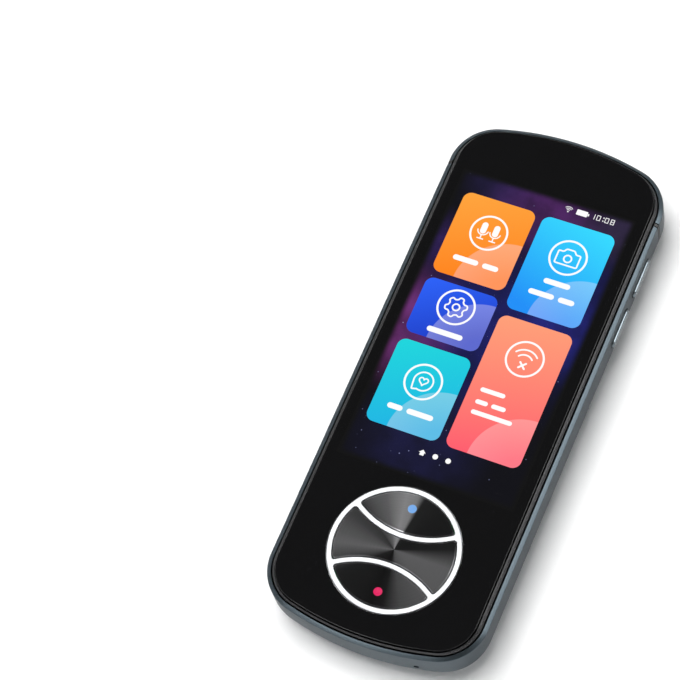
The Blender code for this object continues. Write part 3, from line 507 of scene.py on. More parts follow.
@dataclass(frozen=True)
class Coated(Finish):
    """A lens with its coating: its tint with a painted violet glint that turns to blue towards the rim,
    about one centre.
    """

    centre: tuple[float, float] = (0, 0)
    radius: float = 1.7 * MM

    def pattern(self, palette: Palette) -> None:
        """Colour by the distance from the lens's axis; the violet is partly a painted glint.

        Args:
            palette: The tree to add to.
        """
        reach = palette.vector("DISTANCE", palette.flat(), (*self.centre, 0))
        violet = palette.spread(reach, 0, 1, 0.25 * self.radius, 0.8 * self.radius, True)
        rim = palette.spread(reach, 0, 1, 0.8 * self.radius, self.radius, True)
        # painted glint: the violet ring stands partly for the coating's reflection and partly for its
        # tint
        inner = palette.mix(violet, "#0b0714", self.colour)
        palette.feed("Base Color", palette.mix(rim, inner, "#101222"))


# Shapes: points worked out as whole arrays

class Lay(Enum):
    """Which way a flat contour faces, and so which axis its profile's height counts along."""

    LEVEL = "level"
    SIDEWAYS = "sideways"
    UPRIGHT = "upright"

    def place(self, first: np.ndarray, second: np.ndarray, height: np.ndarray) -> np.ndarray:
        """Put the contour's two coordinates and its height on the device's axes.

        Args:
            first: The contour's first coordinates.
            second: Its second coordinates.
            height: How far along the remaining axis each point lies.

        Returns:
            Points with their three coordinates last.
        """
        orders = {
            Lay.LEVEL: (first, second, height),
            Lay.SIDEWAYS: (height, first, second),
            Lay.UPRIGHT: (first, height, second),
        }
        return np.stack(np.broadcast_arrays(*orders[self]), axis=-1)


def ray(angle: np.ndarray) -> np.ndarray:
    """Unit vectors (cos a, sin a)."""
    return np.stack([np.cos(angle), np.sin(angle)], axis=-1)


def arc(radius: float, centre: Sequence[float], start: float, end: float, steps: int) -> np.ndarray:
    """Points on an arc: centre + radius * (cos a, sin a), a running evenly from start to end."""
    return np.asarray(centre) + radius * ray(np.linspace(start, end, steps + 1))


def circle(radius: float, centre: Sequence[float], steps: int) -> np.ndarray:
    """Points all round a circle, the first one not repeated."""
    return arc(radius, centre, 0, TURN, steps)[:-1]


def softened(points: Sequence[Sequence[float]], trim: float, steps: int = 4) -> np.ndarray:
    """Round the corners of a line of points in any number of coordinates.

    Each inner corner gives way to a Bezier curve (1-t)^2 a + 2t(1-t) b + t^2 c, where b is the
    corner and a and c lie a trim away from it, or half way to the next corner if that is nearer.

    Args:
        points: The line's corners.
        trim: How far from each corner its curve starts.
        steps: How many pieces each curve has.

    Returns:
        The rounded line.
    """
    line = np.asarray(points, float)
    run = np.diff(line, axis=0)
    length = np.linalg.norm(run, axis=1, keepdims=True)
    back = line[1:-1] - run[:-1] / length[:-1] * np.minimum(trim, length[:-1] / 2)
    ahead = line[1:-1] + run[1:] / length[1:] * np.minimum(trim, length[1:] / 2)
    t = np.linspace(0, 1, steps + 1)[None, :, None]
    curve = (1 - t) ** 2 * back[:, None] + 2 * t * (1 - t) * line[1:-1, None] + t ** 2 * ahead[:, None]
    return np.vstack([line[:1], curve.reshape(-1, line.shape[1]), line[-1:]])


def ringed(points: Sequence[Sequence[float]], trim: float, steps: int = 4) -> np.ndarray:
    """Round every corner of a closed line, its first corner too.

    Args:
        points: The line's corners.
        trim: How far from each corner its curve starts.
        steps: How many pieces each curve has.

    Returns:
        The rounded line, starting half way along its last side.
    """
    line = np.asarray(points, float)
    middle = (line[0] + line[-1]) / 2
    return softened(np.vstack([middle, line, middle]), trim, steps)[:-1]


def dome(radius: float, foot: float, rim: float, rise: float, flat: float, steps: int) -> np.ndarray:
    """Profile of a low dome on a disc: height = rim + rise * (1 - (r / R)^2).

    Args:
        radius: The disc's radius R.
        foot: Height where the disc's side starts.
        rim: Height of the dome's rim.
        rise: How much higher its middle is.
        flat: The share of the radius that stays flat in the middle.
        steps: How many rows the dome has.

    Returns:
        Rows of (grow, height), counted from the disc's edge.
    """
    share = np.linspace(1, flat, steps)
    cap = np.stack([(share - 1) * radius, rim + rise * (1 - share ** 2)], axis=-1)
    return np.vstack([[(0, foot)], cap])


@dataclass(frozen=True)
class Contour:
    """A closed contour that can grow or shrink: base + grow * normal."""

    base: np.ndarray
    normal: np.ndarray

    def at(self, grow: float | np.ndarray) -> np.ndarray:
        """The contour's points when grown outwards, or drawn in by a negative value."""
        return self.base + np.asarray(grow)[..., None, None] * self.normal

    def grown(self, grow: float) -> "Contour":
        """The contour with its base grown outwards."""
        return Contour(self.at(grow), self.normal)

    def moved(self, x: float, y: float) -> "Contour":
        """The same contour in another place."""
        return Contour(self.base + np.array([x, y]), self.normal)

    def flipped(self) -> "Contour":
        """The contour mirrored top to bottom."""
        mirror = np.array([1, -1])
        return Contour(self.base[::-1] * mirror, self.normal[::-1] * mirror)

    @staticmethod
    def disc(radius: float, centre: Sequence[float] = (0, 0), steps: int = 96) -> "Contour":
        """A circle: every point's normal runs from the centre."""
        normal = ray(np.arange(steps) * TURN / steps)
        return Contour(np.asarray(centre) + radius * normal, normal)

    @staticmethod
    def box(
            half_x: float, half_y: float, radius: float, centre: Sequence[float] = (0, 0),
            steps: int = 12) -> "Contour":
        """A rounded rectangle: four corner points, each with a quarter turn of normals.

        Args:
            half_x: Half its width.
            half_y: Half its height.
            radius: Radius of its corners.
            centre: Its middle.
            steps: How many pieces each corner has.

        Returns:
            The contour.
        """
        angle = np.arange(4)[:, None] * math.pi / 2 + np.linspace(0, math.pi / 2, steps + 1)[None]
        sign = np.array([(1, 1), (-1, 1), (-1, -1), (1, -1)])
        core = sign * np.array([half_x - radius, half_y - radius]) + np.asarray(centre)
        normal = ray(angle).reshape(-1, 2)
        return Contour(np.repeat(core, steps + 1, axis=0) + radius * normal, normal)

    @staticmethod
    def joined(runs: list[tuple[np.ndarray, np.ndarray]], radius: float, steps: int = 6) -> "Contour":
        """Runs of points with normals, closed by a fan of normals at each corner between them.

        The runs are drawn in by the corner radius beforehand, so base = point + radius * normal
        follows each run's own curve and turns through an arc at every corner.

        Args:
            runs: Each run's points and their normals, in order.
            radius: Radius of the corners between the runs.
            steps: How many pieces each corner has.

        Returns:
            The contour.
        """
        points, normals = [], []
        for k, (line, normal) in enumerate(runs):
            following = runs[(k + 1) % len(runs)][1][0]
            first = math.atan2(normal[-1, 1], normal[-1, 0])
            turn = (math.atan2(following[1], following[0]) - first) % TURN
            fan = ray(first + turn * np.arange(1, steps) / steps)
            points += [line, np.repeat(line[-1:], steps - 1, axis=0)]
            normals += [normal, fan]
        normal = np.vstack(normals)
        return Contour(np.vstack(points) + radius * normal, normal)


class Mould:
    """Collects grids of points and casts them into one mesh object."""

    def __init__(self) -> None:
        """Start empty."""
        self.points: list[np.ndarray] = []
        self.faces: list[list[int]] = []
        self.count = 0

    def grid(self, points: np.ndarray, closed: bool = False, around: bool = True) -> np.ndarray:
        """Add a sheet of quads: rows along a profile, columns along a contour.

        Args:
            points: Rows by columns by three.
            closed: Whether the last row meets the first.
            around: Whether the last column meets the first.

        Returns:
            The index of each point, in the same rows and columns.
        """
        rows, columns = points.shape[:2]
        index = np.arange(rows * columns).reshape(rows, columns) + self.count
        self.points.append(points.reshape(-1, 3))
        self.count += rows * columns
        net = np.vstack([index, index[:1]]) if closed else index
        net = np.hstack([net, net[:, :1]]) if around else net
        quads = np.stack([net[:-1, :-1], net[:-1, 1:], net[1:, 1:], net[1:, :-1]], axis=-1)
        self.faces += quads.reshape(-1, 4).tolist()
        return index

    def cap(self, *loops: np.ndarray) -> None:
        """Close each loop of points with one flat face."""
        self.faces += [loop.tolist() for loop in loops]

    def skin(
            self, flat: np.ndarray, height: np.ndarray, lay: Lay = Lay.LEVEL,
            closed: bool = False) -> "Mould":
        """Add a sheet whose rows are flat contours, each at a height of its own.

        Args:
            flat: Rows by columns by two.
            height: The height of each row.
            lay: Which way the contours face.
            closed: Whether the last row meets the first; otherwise both get a flat face.

        Returns:
            The mould itself, so that calls can follow one another.
        """
        index = self.grid(lay.place(flat[..., 0], flat[..., 1], height[:, None]), closed)
        if not closed:
            self.cap(index[0], index[-1])
        return self

    def sweep(self, contour: Contour, profile, lay: Lay = Lay.LEVEL, closed: bool = False) -> "Mould":
        """Carry a profile of (grow, height) round a contour: place(base + grow * normal, height)."""
        rows = np.asarray(profile, float)
        return self.skin(contour.at(rows[:, 0]), rows[:, 1], lay, closed)

    def pool(self, contour: Contour, low: float, high: float) -> "Mould":
        """A flat plate of one contour."""
        return self.sweep(contour, [(0, low), (0, high)])

    def stroke(self, path: np.ndarray, width: float, low: float, high: float, ring=False) -> "Mould":
        """A drawn line of even width: path +- half width * its side direction, with round ends.

        Args:
            path: Points of the line, close together.
            width: The line's full width.
            low: Height of its underside.
            high: Height of its face.
            ring: Whether the line closes on itself.

        Returns:
            The mould itself.
        """
        half = np.full(len(path), width / 2)
        around = np.roll(path, -1, axis=0) - np.roll(path, 1, axis=0)
        run = around if ring else np.gradient(path, axis=0)
        run = run / np.linalg.norm(run, axis=1, keepdims=True)
        if not ring:
            count = len(ROUND_END)
            reach, tip = (width / 2 * np.sin(ROUND_END))[:, None], width / 2 * np.cos(ROUND_END)
            path = np.vstack([path[0] - reach[::-1] * run[0], path, path[-1] + reach * run[-1]])
            half = np.concatenate([tip[::-1], half, tip])
            run = np.vstack([run[:1]] * count + [run] + [run[-1:]] * count)
        side = np.stack([-run[:, 1], run[:, 0]], axis=-1) * half[:, None]
        flat = np.stack([path + side, path + side, path - side, path - side])
        height = np.array([low, high, high, low])[:, None]
        index = self.grid(Lay.LEVEL.place(flat[..., 0], flat[..., 1], height), closed=True, around=ring)
        if not ring:
            self.cap(index[:, 0], index[:, -1])
        return self

    def cast(self, name: str) -> bpy.types.Object:
        """Make the mesh object, with its faces turned outwards and its hard edges kept sharp.

        Args:
            name: The object's name and the mesh's.

        Returns:
            The object, in the scene.
        """
        mesh = bpy.data.meshes.new(name)
        mesh.from_pydata(np.vstack(self.points).tolist(), [], self.faces)
        obj = bpy.data.objects.new(name, mesh)
        bpy.context.scene.collection.objects.link(obj)
        outwards(mesh)
        return obj


def outwards(mesh: bpy.types.Mesh) -> None:
    """Merge doubles, turn every face outwards and shade the mesh smooth between its sharp edges.

    Args:
        mesh: The mesh to change.
    """
    bm = bmesh.new()
    bm.from_mesh(mesh)
    bmesh.ops.remove_doubles(bm, verts=bm.verts, dist=DOUBLE)
    bmesh.ops.recalc_face_normals(bm, faces=bm.faces)
    bm.to_mesh(mesh)
    bm.free()
    mesh.shade_smooth()
    mesh.set_sharp_from_angle(angle=SMOOTH_ANGLE)


class Step(Enum):
    """What a step of carving does with its solid."""

    CUT = "DIFFERENCE"
    JOIN = "UNION"


def carve(piece: bpy.types.Object, *steps: tuple[Step, Mould]) -> None:
    """Cut solids from a piece or join them to it, in order.

    Args:
        piece: The solid that stays, and gets a new mesh.
        steps: Pairs of what to do and the solid to do it with.
    """
    tools = [mould.cast(f"{piece.name}_tool") for _, mould in steps]
    for tool, (step, _) in zip(tools, steps):
        modifier = piece.modifiers.new(tool.name, "BOOLEAN")
        modifier.operation, modifier.object, modifier.solver = step.value, tool, "EXACT"
    graph = bpy.context.evaluated_depsgraph_get()
    mesh = bpy.data.meshes.new_from_object(piece.evaluated_get(graph))
    piece.modifiers.clear()
    piece.data = mesh
    mesh.name = piece.name
    for tool in tools:
        bpy.data.objects.remove(tool, do_unlink=True)
    outwards(mesh)


def settle(
        piece: bpy.types.Object, finish: Finish, body: str = ROOT_BODY,
        stands_for: str = "") -> None:
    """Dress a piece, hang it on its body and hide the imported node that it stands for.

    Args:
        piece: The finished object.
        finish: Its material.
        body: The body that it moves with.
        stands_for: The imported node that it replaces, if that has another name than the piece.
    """
    piece.data.materials.clear()
    piece.data.materials.append(finish.make())
    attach(piece, body)
    node = stands_for or piece.name.split(".")[0]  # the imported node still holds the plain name
    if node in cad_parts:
        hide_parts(node)
    LOG.info("%s: %d faces, rides on %s", piece.name, len(piece.data.polygons), body)


# The device

@dataclass(frozen=True)
class Plan:
    """Sizes that every sub-assembly shares, and the body's outline."""

    width: float = 0.0456
    length: float = 0.1148
    thickness: float = 0.0126
    proud: float = 0.00035
    corner: float = 0.0098
    end_radius: float = 0.0615
    rounding: float = 0.0059
    side_wall: float = 0.0009
    end_wall: float = 0.00085
    back_wall: float = 0.0011
    strip_from_top: float = 0.0125
    pad_from_bottom: float = 0.0197
    overrun: float = 0.002
    straight_steps: int = 12
    corner_steps: int = 30
    crown_steps: int = 24

    @property
    def side(self) -> float:
        """Half the width."""
        return self.width / 2

    @property
    def end(self) -> float:
        """Half the length."""
        return self.length / 2

    @property
    def front(self) -> float:
        """Height of the glass."""
        return self.proud + self.thickness

    @property
    def strip_y(self) -> float:
        """Where the dark strip and the camera lie."""
        return self.end - self.strip_from_top

    @property
    def pad_y(self) -> float:
        """Where the key pad lies."""
        return self.pad_from_bottom - self.end

    def end_path(self, side_inset: np.ndarray, end_inset: np.ndarray, cut: float) -> np.ndarray:
        """The outline round the top end, from the right side at y = cut to the left.

        The side is straight up to its corner arc, which touches the end's large arc from inside:
        corner centre y = end centre y + sqrt((end - corner)^2 - x^2).

        Args:
            side_inset: How far each row is drawn in at the sides.
            end_inset: How far each row is drawn in at the end.
            cut: Where the path starts and ends.

        Returns:
            Rows by points by two.
        """
        side_inset, end_inset = side_inset[:, None], end_inset[:, None]
        half = self.side - side_inset
        radius = self.end_radius - end_inset
        corner = self.corner - (side_inset + end_inset) / 2
        middle = self.end - end_inset - radius
        corner_x = half - corner
        corner_y = middle + np.sqrt((radius - corner) ** 2 - corner_x ** 2)
        meet = np.arctan2(corner_y - middle, corner_x)
        along = np.linspace(0, 1, self.straight_steps + 1)[None, :-1]
        straight = np.stack(np.broadcast_arrays(half, cut + (corner_y - cut) * along), axis=-1)
        turn = meet * np.linspace(0, 1, self.corner_steps + 1)[None, :-1]
        bend = np.stack([corner_x + corner * np.cos(turn), corner_y + corner * np.sin(turn)], axis=-1)
        swing = meet + (math.pi / 2 - meet) * np.linspace(0, 1, self.crown_steps + 1)[None]
        crown = np.stack([radius * np.cos(swing), middle + radius * np.sin(swing)], axis=-1)
        right = np.concatenate([straight, bend, crown], axis=1)
        return np.concatenate([right, right[:, -2::-1] * np.array([-1, 1])], axis=1)

    def outline(self, side_inset: np.ndarray, end_inset: np.ndarray) -> np.ndarray:
        """The whole outline, rows by points by two: the top end's path and its half turn."""
        upper = self.end_path(side_inset, end_inset, 0.0)[:, :-1]
        return np.concatenate([upper, -upper], axis=1)


PLAN = Plan()

COAT = SprayedMetal(
    "Sprayed metallic coat, dark grey", "#3f474c", roughness=0.36, metallic=0.9, edge_tint="#dadada")
STRIP = Finish("Moulded plastic, black strip", "#141416", roughness=0.42)
CHROME = Polished("Chrome plate", "#d9dadc", roughness=0.08, metallic=1.0)
BLACK_GLASS = Polished("Printed cover glass, black", "#050506", roughness=0.03)
WINDOW_GLASS = Polished("Camera window glass, black", "#060608", roughness=0.04)
RIM_METAL = SprayedMetal(
    "Anodised aluminium rim", "#3b3b3c", roughness=0.3, metallic=0.9, edge_tint="#c8c8c8")
RING_PLASTIC = Finish("Moulded plastic, white ring", "#eef0f2", roughness=0.35)
KEY_FACE = TurnedMetal(
    "Turned aluminium key face", "#dcdcde", roughness=0.3, metallic=1.0, anisotropy=0.6,
    centre=(0, PLAN.pad_y, 0),
    # painted highlights and shade: bright and dark sectors round the pad, by angle in degrees
    painted_highlight_stops=(
        (-180, 0.28), (-168, 0.43), (-155, 0.3), (-138, 0.09), (-90, 0.035), (-78, 0.05), (-62, 0.23),
        (0, 0.34), (20, 0.06), (82, 0.08), (88, 0.84), (100, 0.94), (120, 0.36), (145, 0.09),
        (160, 0.13), (180, 0.28)))
SIDE_KEY_METAL = SprayedMetal("Anodised aluminium side key", "#676f74", roughness=0.26, metallic=0.95)
SOCKET_STEEL = DrawnMetal("Drawn steel socket", "#9a9b9d", roughness=0.3, metallic=1.0)


@dataclass(frozen=True)
class SideKeys:
    """Three keys in the side walls."""

    length: float = 0.0086
    height: float = 0.0019
    proud: float = 0.0005
    edge: float = 0.0003
    soft: float = 0.0002
    below: float = 0.005
    lip: float = 0.0004
    flange: float = 0.0005
    setback: float = 0.0006
    clearance: float = 0.00025
    places: tuple[tuple[str, int, float], ...] = (
        ("key_left", -1, PLAN.end - 0.0252),
        ("key_right_upper", 1, PLAN.end - 0.023),
        ("key_right_lower", 1, PLAN.end - 0.0347),
    )

    def contour(self, y: float) -> Contour:
        """A key's round-ended outline, seen from its side."""
        half = self.height / 2
        return Contour.box(self.length / 2, half, half, (y, PLAN.front - self.below), 16)

    def rooms(self, grow: float, inside: float) -> Mould:
        """One cutter that makes room for every key, from a depth to beyond the wall.

        Args:
            grow: How far each room stands off its key.
            inside: How far from the middle the rooms start.

        Returns:
            The cutter.
        """
        mould = Mould()
        for _, side, y in self.places:
            reach = [(grow, side * inside), (grow, side * (PLAN.side + PLAN.overrun))]
            mould.sweep(self.contour(y), reach, Lay.SIDEWAYS)
        return mould

    def build(self) -> None:
        """Make each key: a lip inside the wall and a softened cap outside it."""
        lip_outer = PLAN.side - PLAN.side_wall - self.setback
        lip_inner = lip_outer - self.flange
        cap = PLAN.side + self.proud
        for name, side, y in self.places:
            profile = softened([
                (self.lip, lip_inner), (self.lip, lip_outer), (0, lip_outer),
                (0, cap - self.edge), (-0.7 * self.edge, cap), (-2 * self.edge, cap),
            ], self.soft, 6)
            profile[:, 1] *= side
            key = Mould().sweep(self.contour(y), profile, Lay.SIDEWAYS).cast(name)
            settle(key, SIDE_KEY_METAL, name)


@dataclass(frozen=True)
class Socket:
    """The charging socket in the top end."""

    width: float = 0.0089
    height: float = 0.0032
    depth: float = 0.0073
    wall: float = 0.0003
    back: float = 0.0012
    below: float = 0.0057
    recess: float = 0.0003
    clearance: float = 0.0003
    soft: float = 0.00008
    tongue_width: float = 0.0067
    tongue_thickness: float = 0.0007
    tongue_setback: float = 0.0008
    tongue_edge: float = 0.0002
    tongue_corner: float = 0.0001
    tongue_soft: float = 0.00006
    contact_pitch: float = 0.0005
    contact_width: float = 0.00024
    contact_proud: float = 0.00001
    contact_setback: float = 0.0004
    contacts_in_row: int = 11

    def contour(self) -> Contour:
        """The socket's round-ended outline, seen from the top end."""
        half = self.height / 2
        return Contour.box(self.width / 2, half, half, (0, PLAN.front - self.below), 16)

    def build(self) -> None:
        """Make the steel tube, its black tongue and the gilt contacts on it."""
        mouth = PLAN.end - self.recess
        rear = mouth - self.depth
        profile = softened([
            (-2 * self.wall, rear + self.back), (-self.wall, rear + self.back), (-self.wall, mouth),
            (0, mouth), (0, rear), (-2 * self.wall, rear),
        ], self.soft)
        tube = Mould().sweep(self.contour(), profile, Lay.UPRIGHT).cast("usb_socket")
        settle(tube, SOCKET_STEEL)

        middle = PLAN.front - self.below
        half = self.tongue_thickness / 2
        tip = mouth - self.tongue_setback
        tongue = Contour.box(self.tongue_width / 2, half, self.tongue_corner, (0, middle), 4)
        length = softened(
            [(0, rear + self.back / 2), (0, tip), (-self.tongue_edge, tip)], self.tongue_soft)
        settle(Mould().sweep(tongue, length, Lay.UPRIGHT).cast("socket_tongue"), STRIP)

        proud, contacts = self.contact_proud, Mould()
        for k in np.arange(self.contacts_in_row) - self.contacts_in_row // 2:
            for height in (middle - half, middle + half):
                spot = (k * self.contact_pitch, height)
                pad = Contour.box(self.contact_width / 2, proud, proud, spot, 2)
                reach = [(0, rear + self.back), (0, tip - self.contact_setback)]
                contacts.sweep(pad, reach, Lay.UPRIGHT)
        gilt = DrawnMetal("Gilt contacts", "#c9a557", roughness=0.28, metallic=1.0)
        settle(contacts.cast("socket_contacts"), gilt)


@dataclass(frozen=True)
class CameraBlock:
    """Chrome ring, dark window, lens and flash on the back."""

    width: float = 0.0198
    height: float = 0.0114
    corner: float = 0.0052
    bezel: float = 0.0012
    edge: float = 0.0002
    flat: float = 0.00035
    soft: float = 0.00012
    recess: float = 0.0001
    window: float = 0.0007
    window_face: float = 0.0003
    window_soft: float = 0.00006
    gap: float = 0.0002
    lens_x: float = 0.0004
    lens_radius: float = 0.0017
    lens_sunk: float = 0.0001
    lens_proud: float = 0.00001
    lens_bulge: float = 0.00005
    barrel_inner: float = 0.00004
    barrel_outer: float = 0.00028
    barrel_proud: float = 0.00002
    barrel_soft: float = 0.00001
    flash_x: float = 0.0066
    flash_radius: float = 0.0012
    flash_clearance: float = 0.00025
    flash_foot: float = 0.0003
    ridge: float = 0.00006
    ridges: int = 4

    def contour(self) -> Contour:
        """The block's outline."""
        return Contour.box(self.width / 2, self.height / 2, self.corner, (0, PLAN.strip_y), 20)

    def build(self) -> None:
        """Make the ring, the window, the lens that shows in it and the flash."""
        floor = PLAN.proud + PLAN.back_wall
        face = PLAN.proud + self.recess
        behind = face + self.window
        ring = ringed([
            (0, floor), (0, self.edge), (-self.edge, 0), (-self.edge - self.flat, 0),
            (-self.bezel, face), (-self.bezel, floor),
        ], self.soft)
        bezel = Mould().sweep(self.contour(), ring, closed=True).cast("camera_bezel")
        settle(bezel, CHROME)

        inset = self.bezel + self.gap
        plate = softened([
            (-inset - self.window_face, face), (-inset, face), (-inset, behind),
            (-inset - self.window_face, behind),
        ], self.window_soft)
        window = Mould().sweep(self.contour(), plate).cast("camera_window")
        spot = (self.flash_x, PLAN.strip_y)
        bore = Contour.disc(self.flash_radius + self.flash_clearance, spot, 48)
        carve(window, (Step.CUT, Mould().pool(bore, face - PLAN.overrun, behind + PLAN.overrun)))
        settle(window, WINDOW_GLASS)
        self.build_lens((self.lens_x, PLAN.strip_y), face)
        self.build_flash(spot, face, behind)

    def build_lens(self, spot: tuple[float, float], face: float) -> None:
        """The lens: a low dome within a dark barrel ring.

        Args:
            spot: Where it lies on the back.
            face: Height of the window's face.
        """
        disc = Contour.disc(self.lens_radius, spot, 64)
        foot, lip = face + self.lens_sunk, face - self.barrel_proud
        profile = dome(self.lens_radius, foot, face - self.lens_proud, -self.lens_bulge, 0.02, 14)
        coating = Coated(
            "Coated lens, violet", "#3a2a78", roughness=0.06, specular=0.9, coat=1.0,
            centre=spot, radius=self.lens_radius)
        eye = Mould().sweep(disc, profile).cast("lens_eye")
        settle(eye, coating, stands_for="camera_lens")
        barrel = ringed([
            (self.barrel_outer, foot), (self.barrel_outer, lip), (self.barrel_inner, lip),
            (self.barrel_inner, foot),
        ], self.barrel_soft, 2)
        settle(Mould().sweep(disc, barrel, closed=True).cast("lens_barrel"), STRIP)

    def build_flash(self, spot: tuple[float, float], face: float, behind: float) -> None:
        """The flash: rings of ridges, height = depth * |sin(pi n r / R)|, over a cream lamp that has a
        painted glow.

        Args:
            spot: Where it lies on the back.
            face: Height of the window's face.
            behind: Height of the window's rear.
        """
        share = np.linspace(1, 0.03, 40)
        ridges = face + self.ridge * np.abs(np.sin(math.pi * self.ridges * share))
        top = np.stack([(share - 1) * self.flash_radius, ridges], axis=-1)
        profile = np.vstack([[(0, behind + self.flash_foot), (0, face + self.ridge)], top])
        flash = Mould().sweep(Contour.disc(self.flash_radius, spot, 48), profile).cast("flash_led")
        # painted glow: the flash lamp is made to give off its cream colour
        cream = Lit("Silicone lens over a cream lamp", "#f2edc4", roughness=0.25, strength=0.55)
        settle(flash, cream)


@dataclass(frozen=True)
class Shell:
    """Rear cover, antenna cap and the dark strip between them."""

    camera: CameraBlock
    keys: SideKeys
    socket: Socket
    strip_width: float = 0.0005
    line_gap: float = 0.0002
    surround: float = 0.00045
    rim_below: float = 0.0013
    chamfer_side: float = 0.0008
    chamfer_end: float = 0.00075
    chamfer_depth: float = 0.00045
    soft: float = 0.00012
    spare: float = 0.0004
    slot_spare: float = 0.0002
    hole_radius: float = 0.0004
    hole_pitch: float = 0.00188
    hole_row_pitch: float = 0.00165
    holes_in_row: tuple[int, ...] = (14, 15, 14)
    grille_from_bottom: float = 0.017
    collar_x: float = 0.0136
    collar_radius: float = 0.00125
    collar_hole: float = 0.0007
    mic_x: float = 0.0116
    mic_below: float = 0.0062
    mic_radius: float = 0.00055

    def section(self) -> np.ndarray:
        """The wall in section, as rows of side inset, end inset and height.

        Back: inset = rounding * (1 - sin a), height = proud + rounding * (1 - cos a). The inner
        face follows it a wall's thickness away, and the rim is chamfered.

        Returns:
            The rows, from the middle of the back round the rim and in again.
        """
        low, top = PLAN.proud, PLAN.front - self.rim_below
        bend, wall = low + PLAN.rounding, (PLAN.side_wall, PLAN.end_wall)
        angle = np.linspace(0, math.pi / 2, 29)
        inset = PLAN.rounding * (1 - np.sin(angle))
        outer = np.stack([inset, inset, low + PLAN.rounding * (1 - np.cos(angle))], axis=-1)
        rim = softened([
            (0, 0, bend), (0, 0, top - self.chamfer_depth), (self.chamfer_side, self.chamfer_end, top),
            (*wall, top), (*wall, bend),
        ], self.soft)[1:-1]
        angle = np.linspace(0, math.pi / 2, 13)
        insets = [part + (PLAN.rounding - part) * (1 - np.cos(angle)) for part in wall]
        rise = bend - (PLAN.rounding - PLAN.back_wall) * np.sin(angle)
        inner = np.stack([*insets, rise], axis=-1)
        spare = PLAN.rounding + self.spare
        return np.vstack([
            [(spare, spare, low)], outer, rim, inner, [(spare, spare, low + PLAN.back_wall)]])

    def half(self, name: str, cut: float, sign: int) -> bpy.types.Object:
        """One end of the shell: the section carried round the outline's end, closed at the cut.

        Args:
            name: The piece's name.
            cut: How far from the middle the piece starts.
            sign: 1 for the top end, -1 for the bottom end.

        Returns:
            The solid, with no openings yet.
        """
        rows = self.section()
        flat = PLAN.end_path(rows[:, 0], rows[:, 1], sign * cut)
        mould = Mould()
        index = mould.grid(
            Lay.LEVEL.place(flat[..., 0], sign * flat[..., 1], rows[:, 2][:, None]), around=False)
        mould.cap(index[0], index[-1], np.concatenate([index[:, 0], index[::-1, -1]]))
        return mould.cast(name)

    def band(self) -> bpy.types.Object:
        """The strip: the shell's section at the cut, drawn straight along Y.

        Returns:
            The solid, without the rings round the camera and the microphone.
        """
        rows = self.section()
        across = np.concatenate([PLAN.side - rows[:, 0], rows[::-1, 0] - PLAN.side])
        up = np.concatenate([rows[:, 2], rows[::-1, 2]])
        ends = PLAN.strip_y + np.array([-1, 1]) * self.strip_width / 2
        section = np.stack([across, up], axis=-1)[None]
        return Mould().skin(section, ends, Lay.UPRIGHT).cast("antenna_strip")

    def holes(self) -> list[Contour]:
        """The sound holes: staggered rows about the middle of the grille.

        Returns:
            Each hole's outline.
        """
        middle = self.grille_from_bottom - PLAN.end
        spots = [
            (self.hole_pitch * (k - (count - 1) / 2),
             middle + self.hole_row_pitch * ((len(self.holes_in_row) - 1) / 2 - row))
            for row, count in enumerate(self.holes_in_row) for k in range(count)
        ]
        return [Contour.disc(self.hole_radius, spot, 20) for spot in spots]

    def through(self, *contours: Contour) -> tuple[Step, Mould]:
        """A cut that passes through the back at each contour.

        Args:
            contours: The outlines of the openings.

        Returns:
            A step for carve.
        """
        mould = Mould()
        for contour in contours:
            mould.pool(contour, PLAN.proud - PLAN.overrun, PLAN.proud + PLAN.back_wall + PLAN.overrun)
        return Step.CUT, mould

    def build(self) -> None:
        """Make the three pieces with their openings."""
        groove = self.strip_width / 2 + self.line_gap
        ring = self.camera.contour()
        room = ring.grown(self.surround + 2 * self.line_gap)
        spot = (self.collar_x, PLAN.strip_y)
        collar = Contour.disc(self.collar_radius, spot, 48)
        collar_room = collar.grown(self.line_gap)

        rear = self.half("rear_cover", PLAN.strip_y - groove, -1)
        openings = self.keys.rooms(
            self.keys.clearance, PLAN.side - 2 * PLAN.side_wall - self.slot_spare)
        bore = Contour.disc(self.mic_radius, (self.mic_x, PLAN.front - self.mic_below), 32)
        reach = [(0, -PLAN.end - PLAN.overrun), (0, PLAN.end_wall + PLAN.overrun - PLAN.end)]
        openings.sweep(bore, reach, Lay.UPRIGHT)
        carve(rear, self.through(room), self.through(collar_room, *self.holes()), (Step.CUT, openings))
        settle(rear, COAT)

        cap = self.half("antenna_cap", PLAN.strip_y + groove, 1)
        clearance = self.socket.clearance
        reach = [(clearance, PLAN.end - PLAN.rounding / 2), (clearance, PLAN.end + PLAN.overrun)]
        mouth = Mould().sweep(self.socket.contour(), reach, Lay.UPRIGHT)
        carve(cap, self.through(room), self.through(collar_room), (Step.CUT, mouth))
        settle(cap, COAT)

        strip = self.band()
        low, floor = PLAN.proud, PLAN.proud + PLAN.back_wall
        carve(
            strip,
            (Step.JOIN, Mould().pool(ring.grown(self.line_gap + self.surround), low, floor)),
            (Step.JOIN, Mould().pool(collar, low, floor)),
            self.through(ring.grown(self.line_gap)),
            self.through(Contour.disc(self.collar_hole, spot, 32)),
        )
        settle(strip, STRIP)


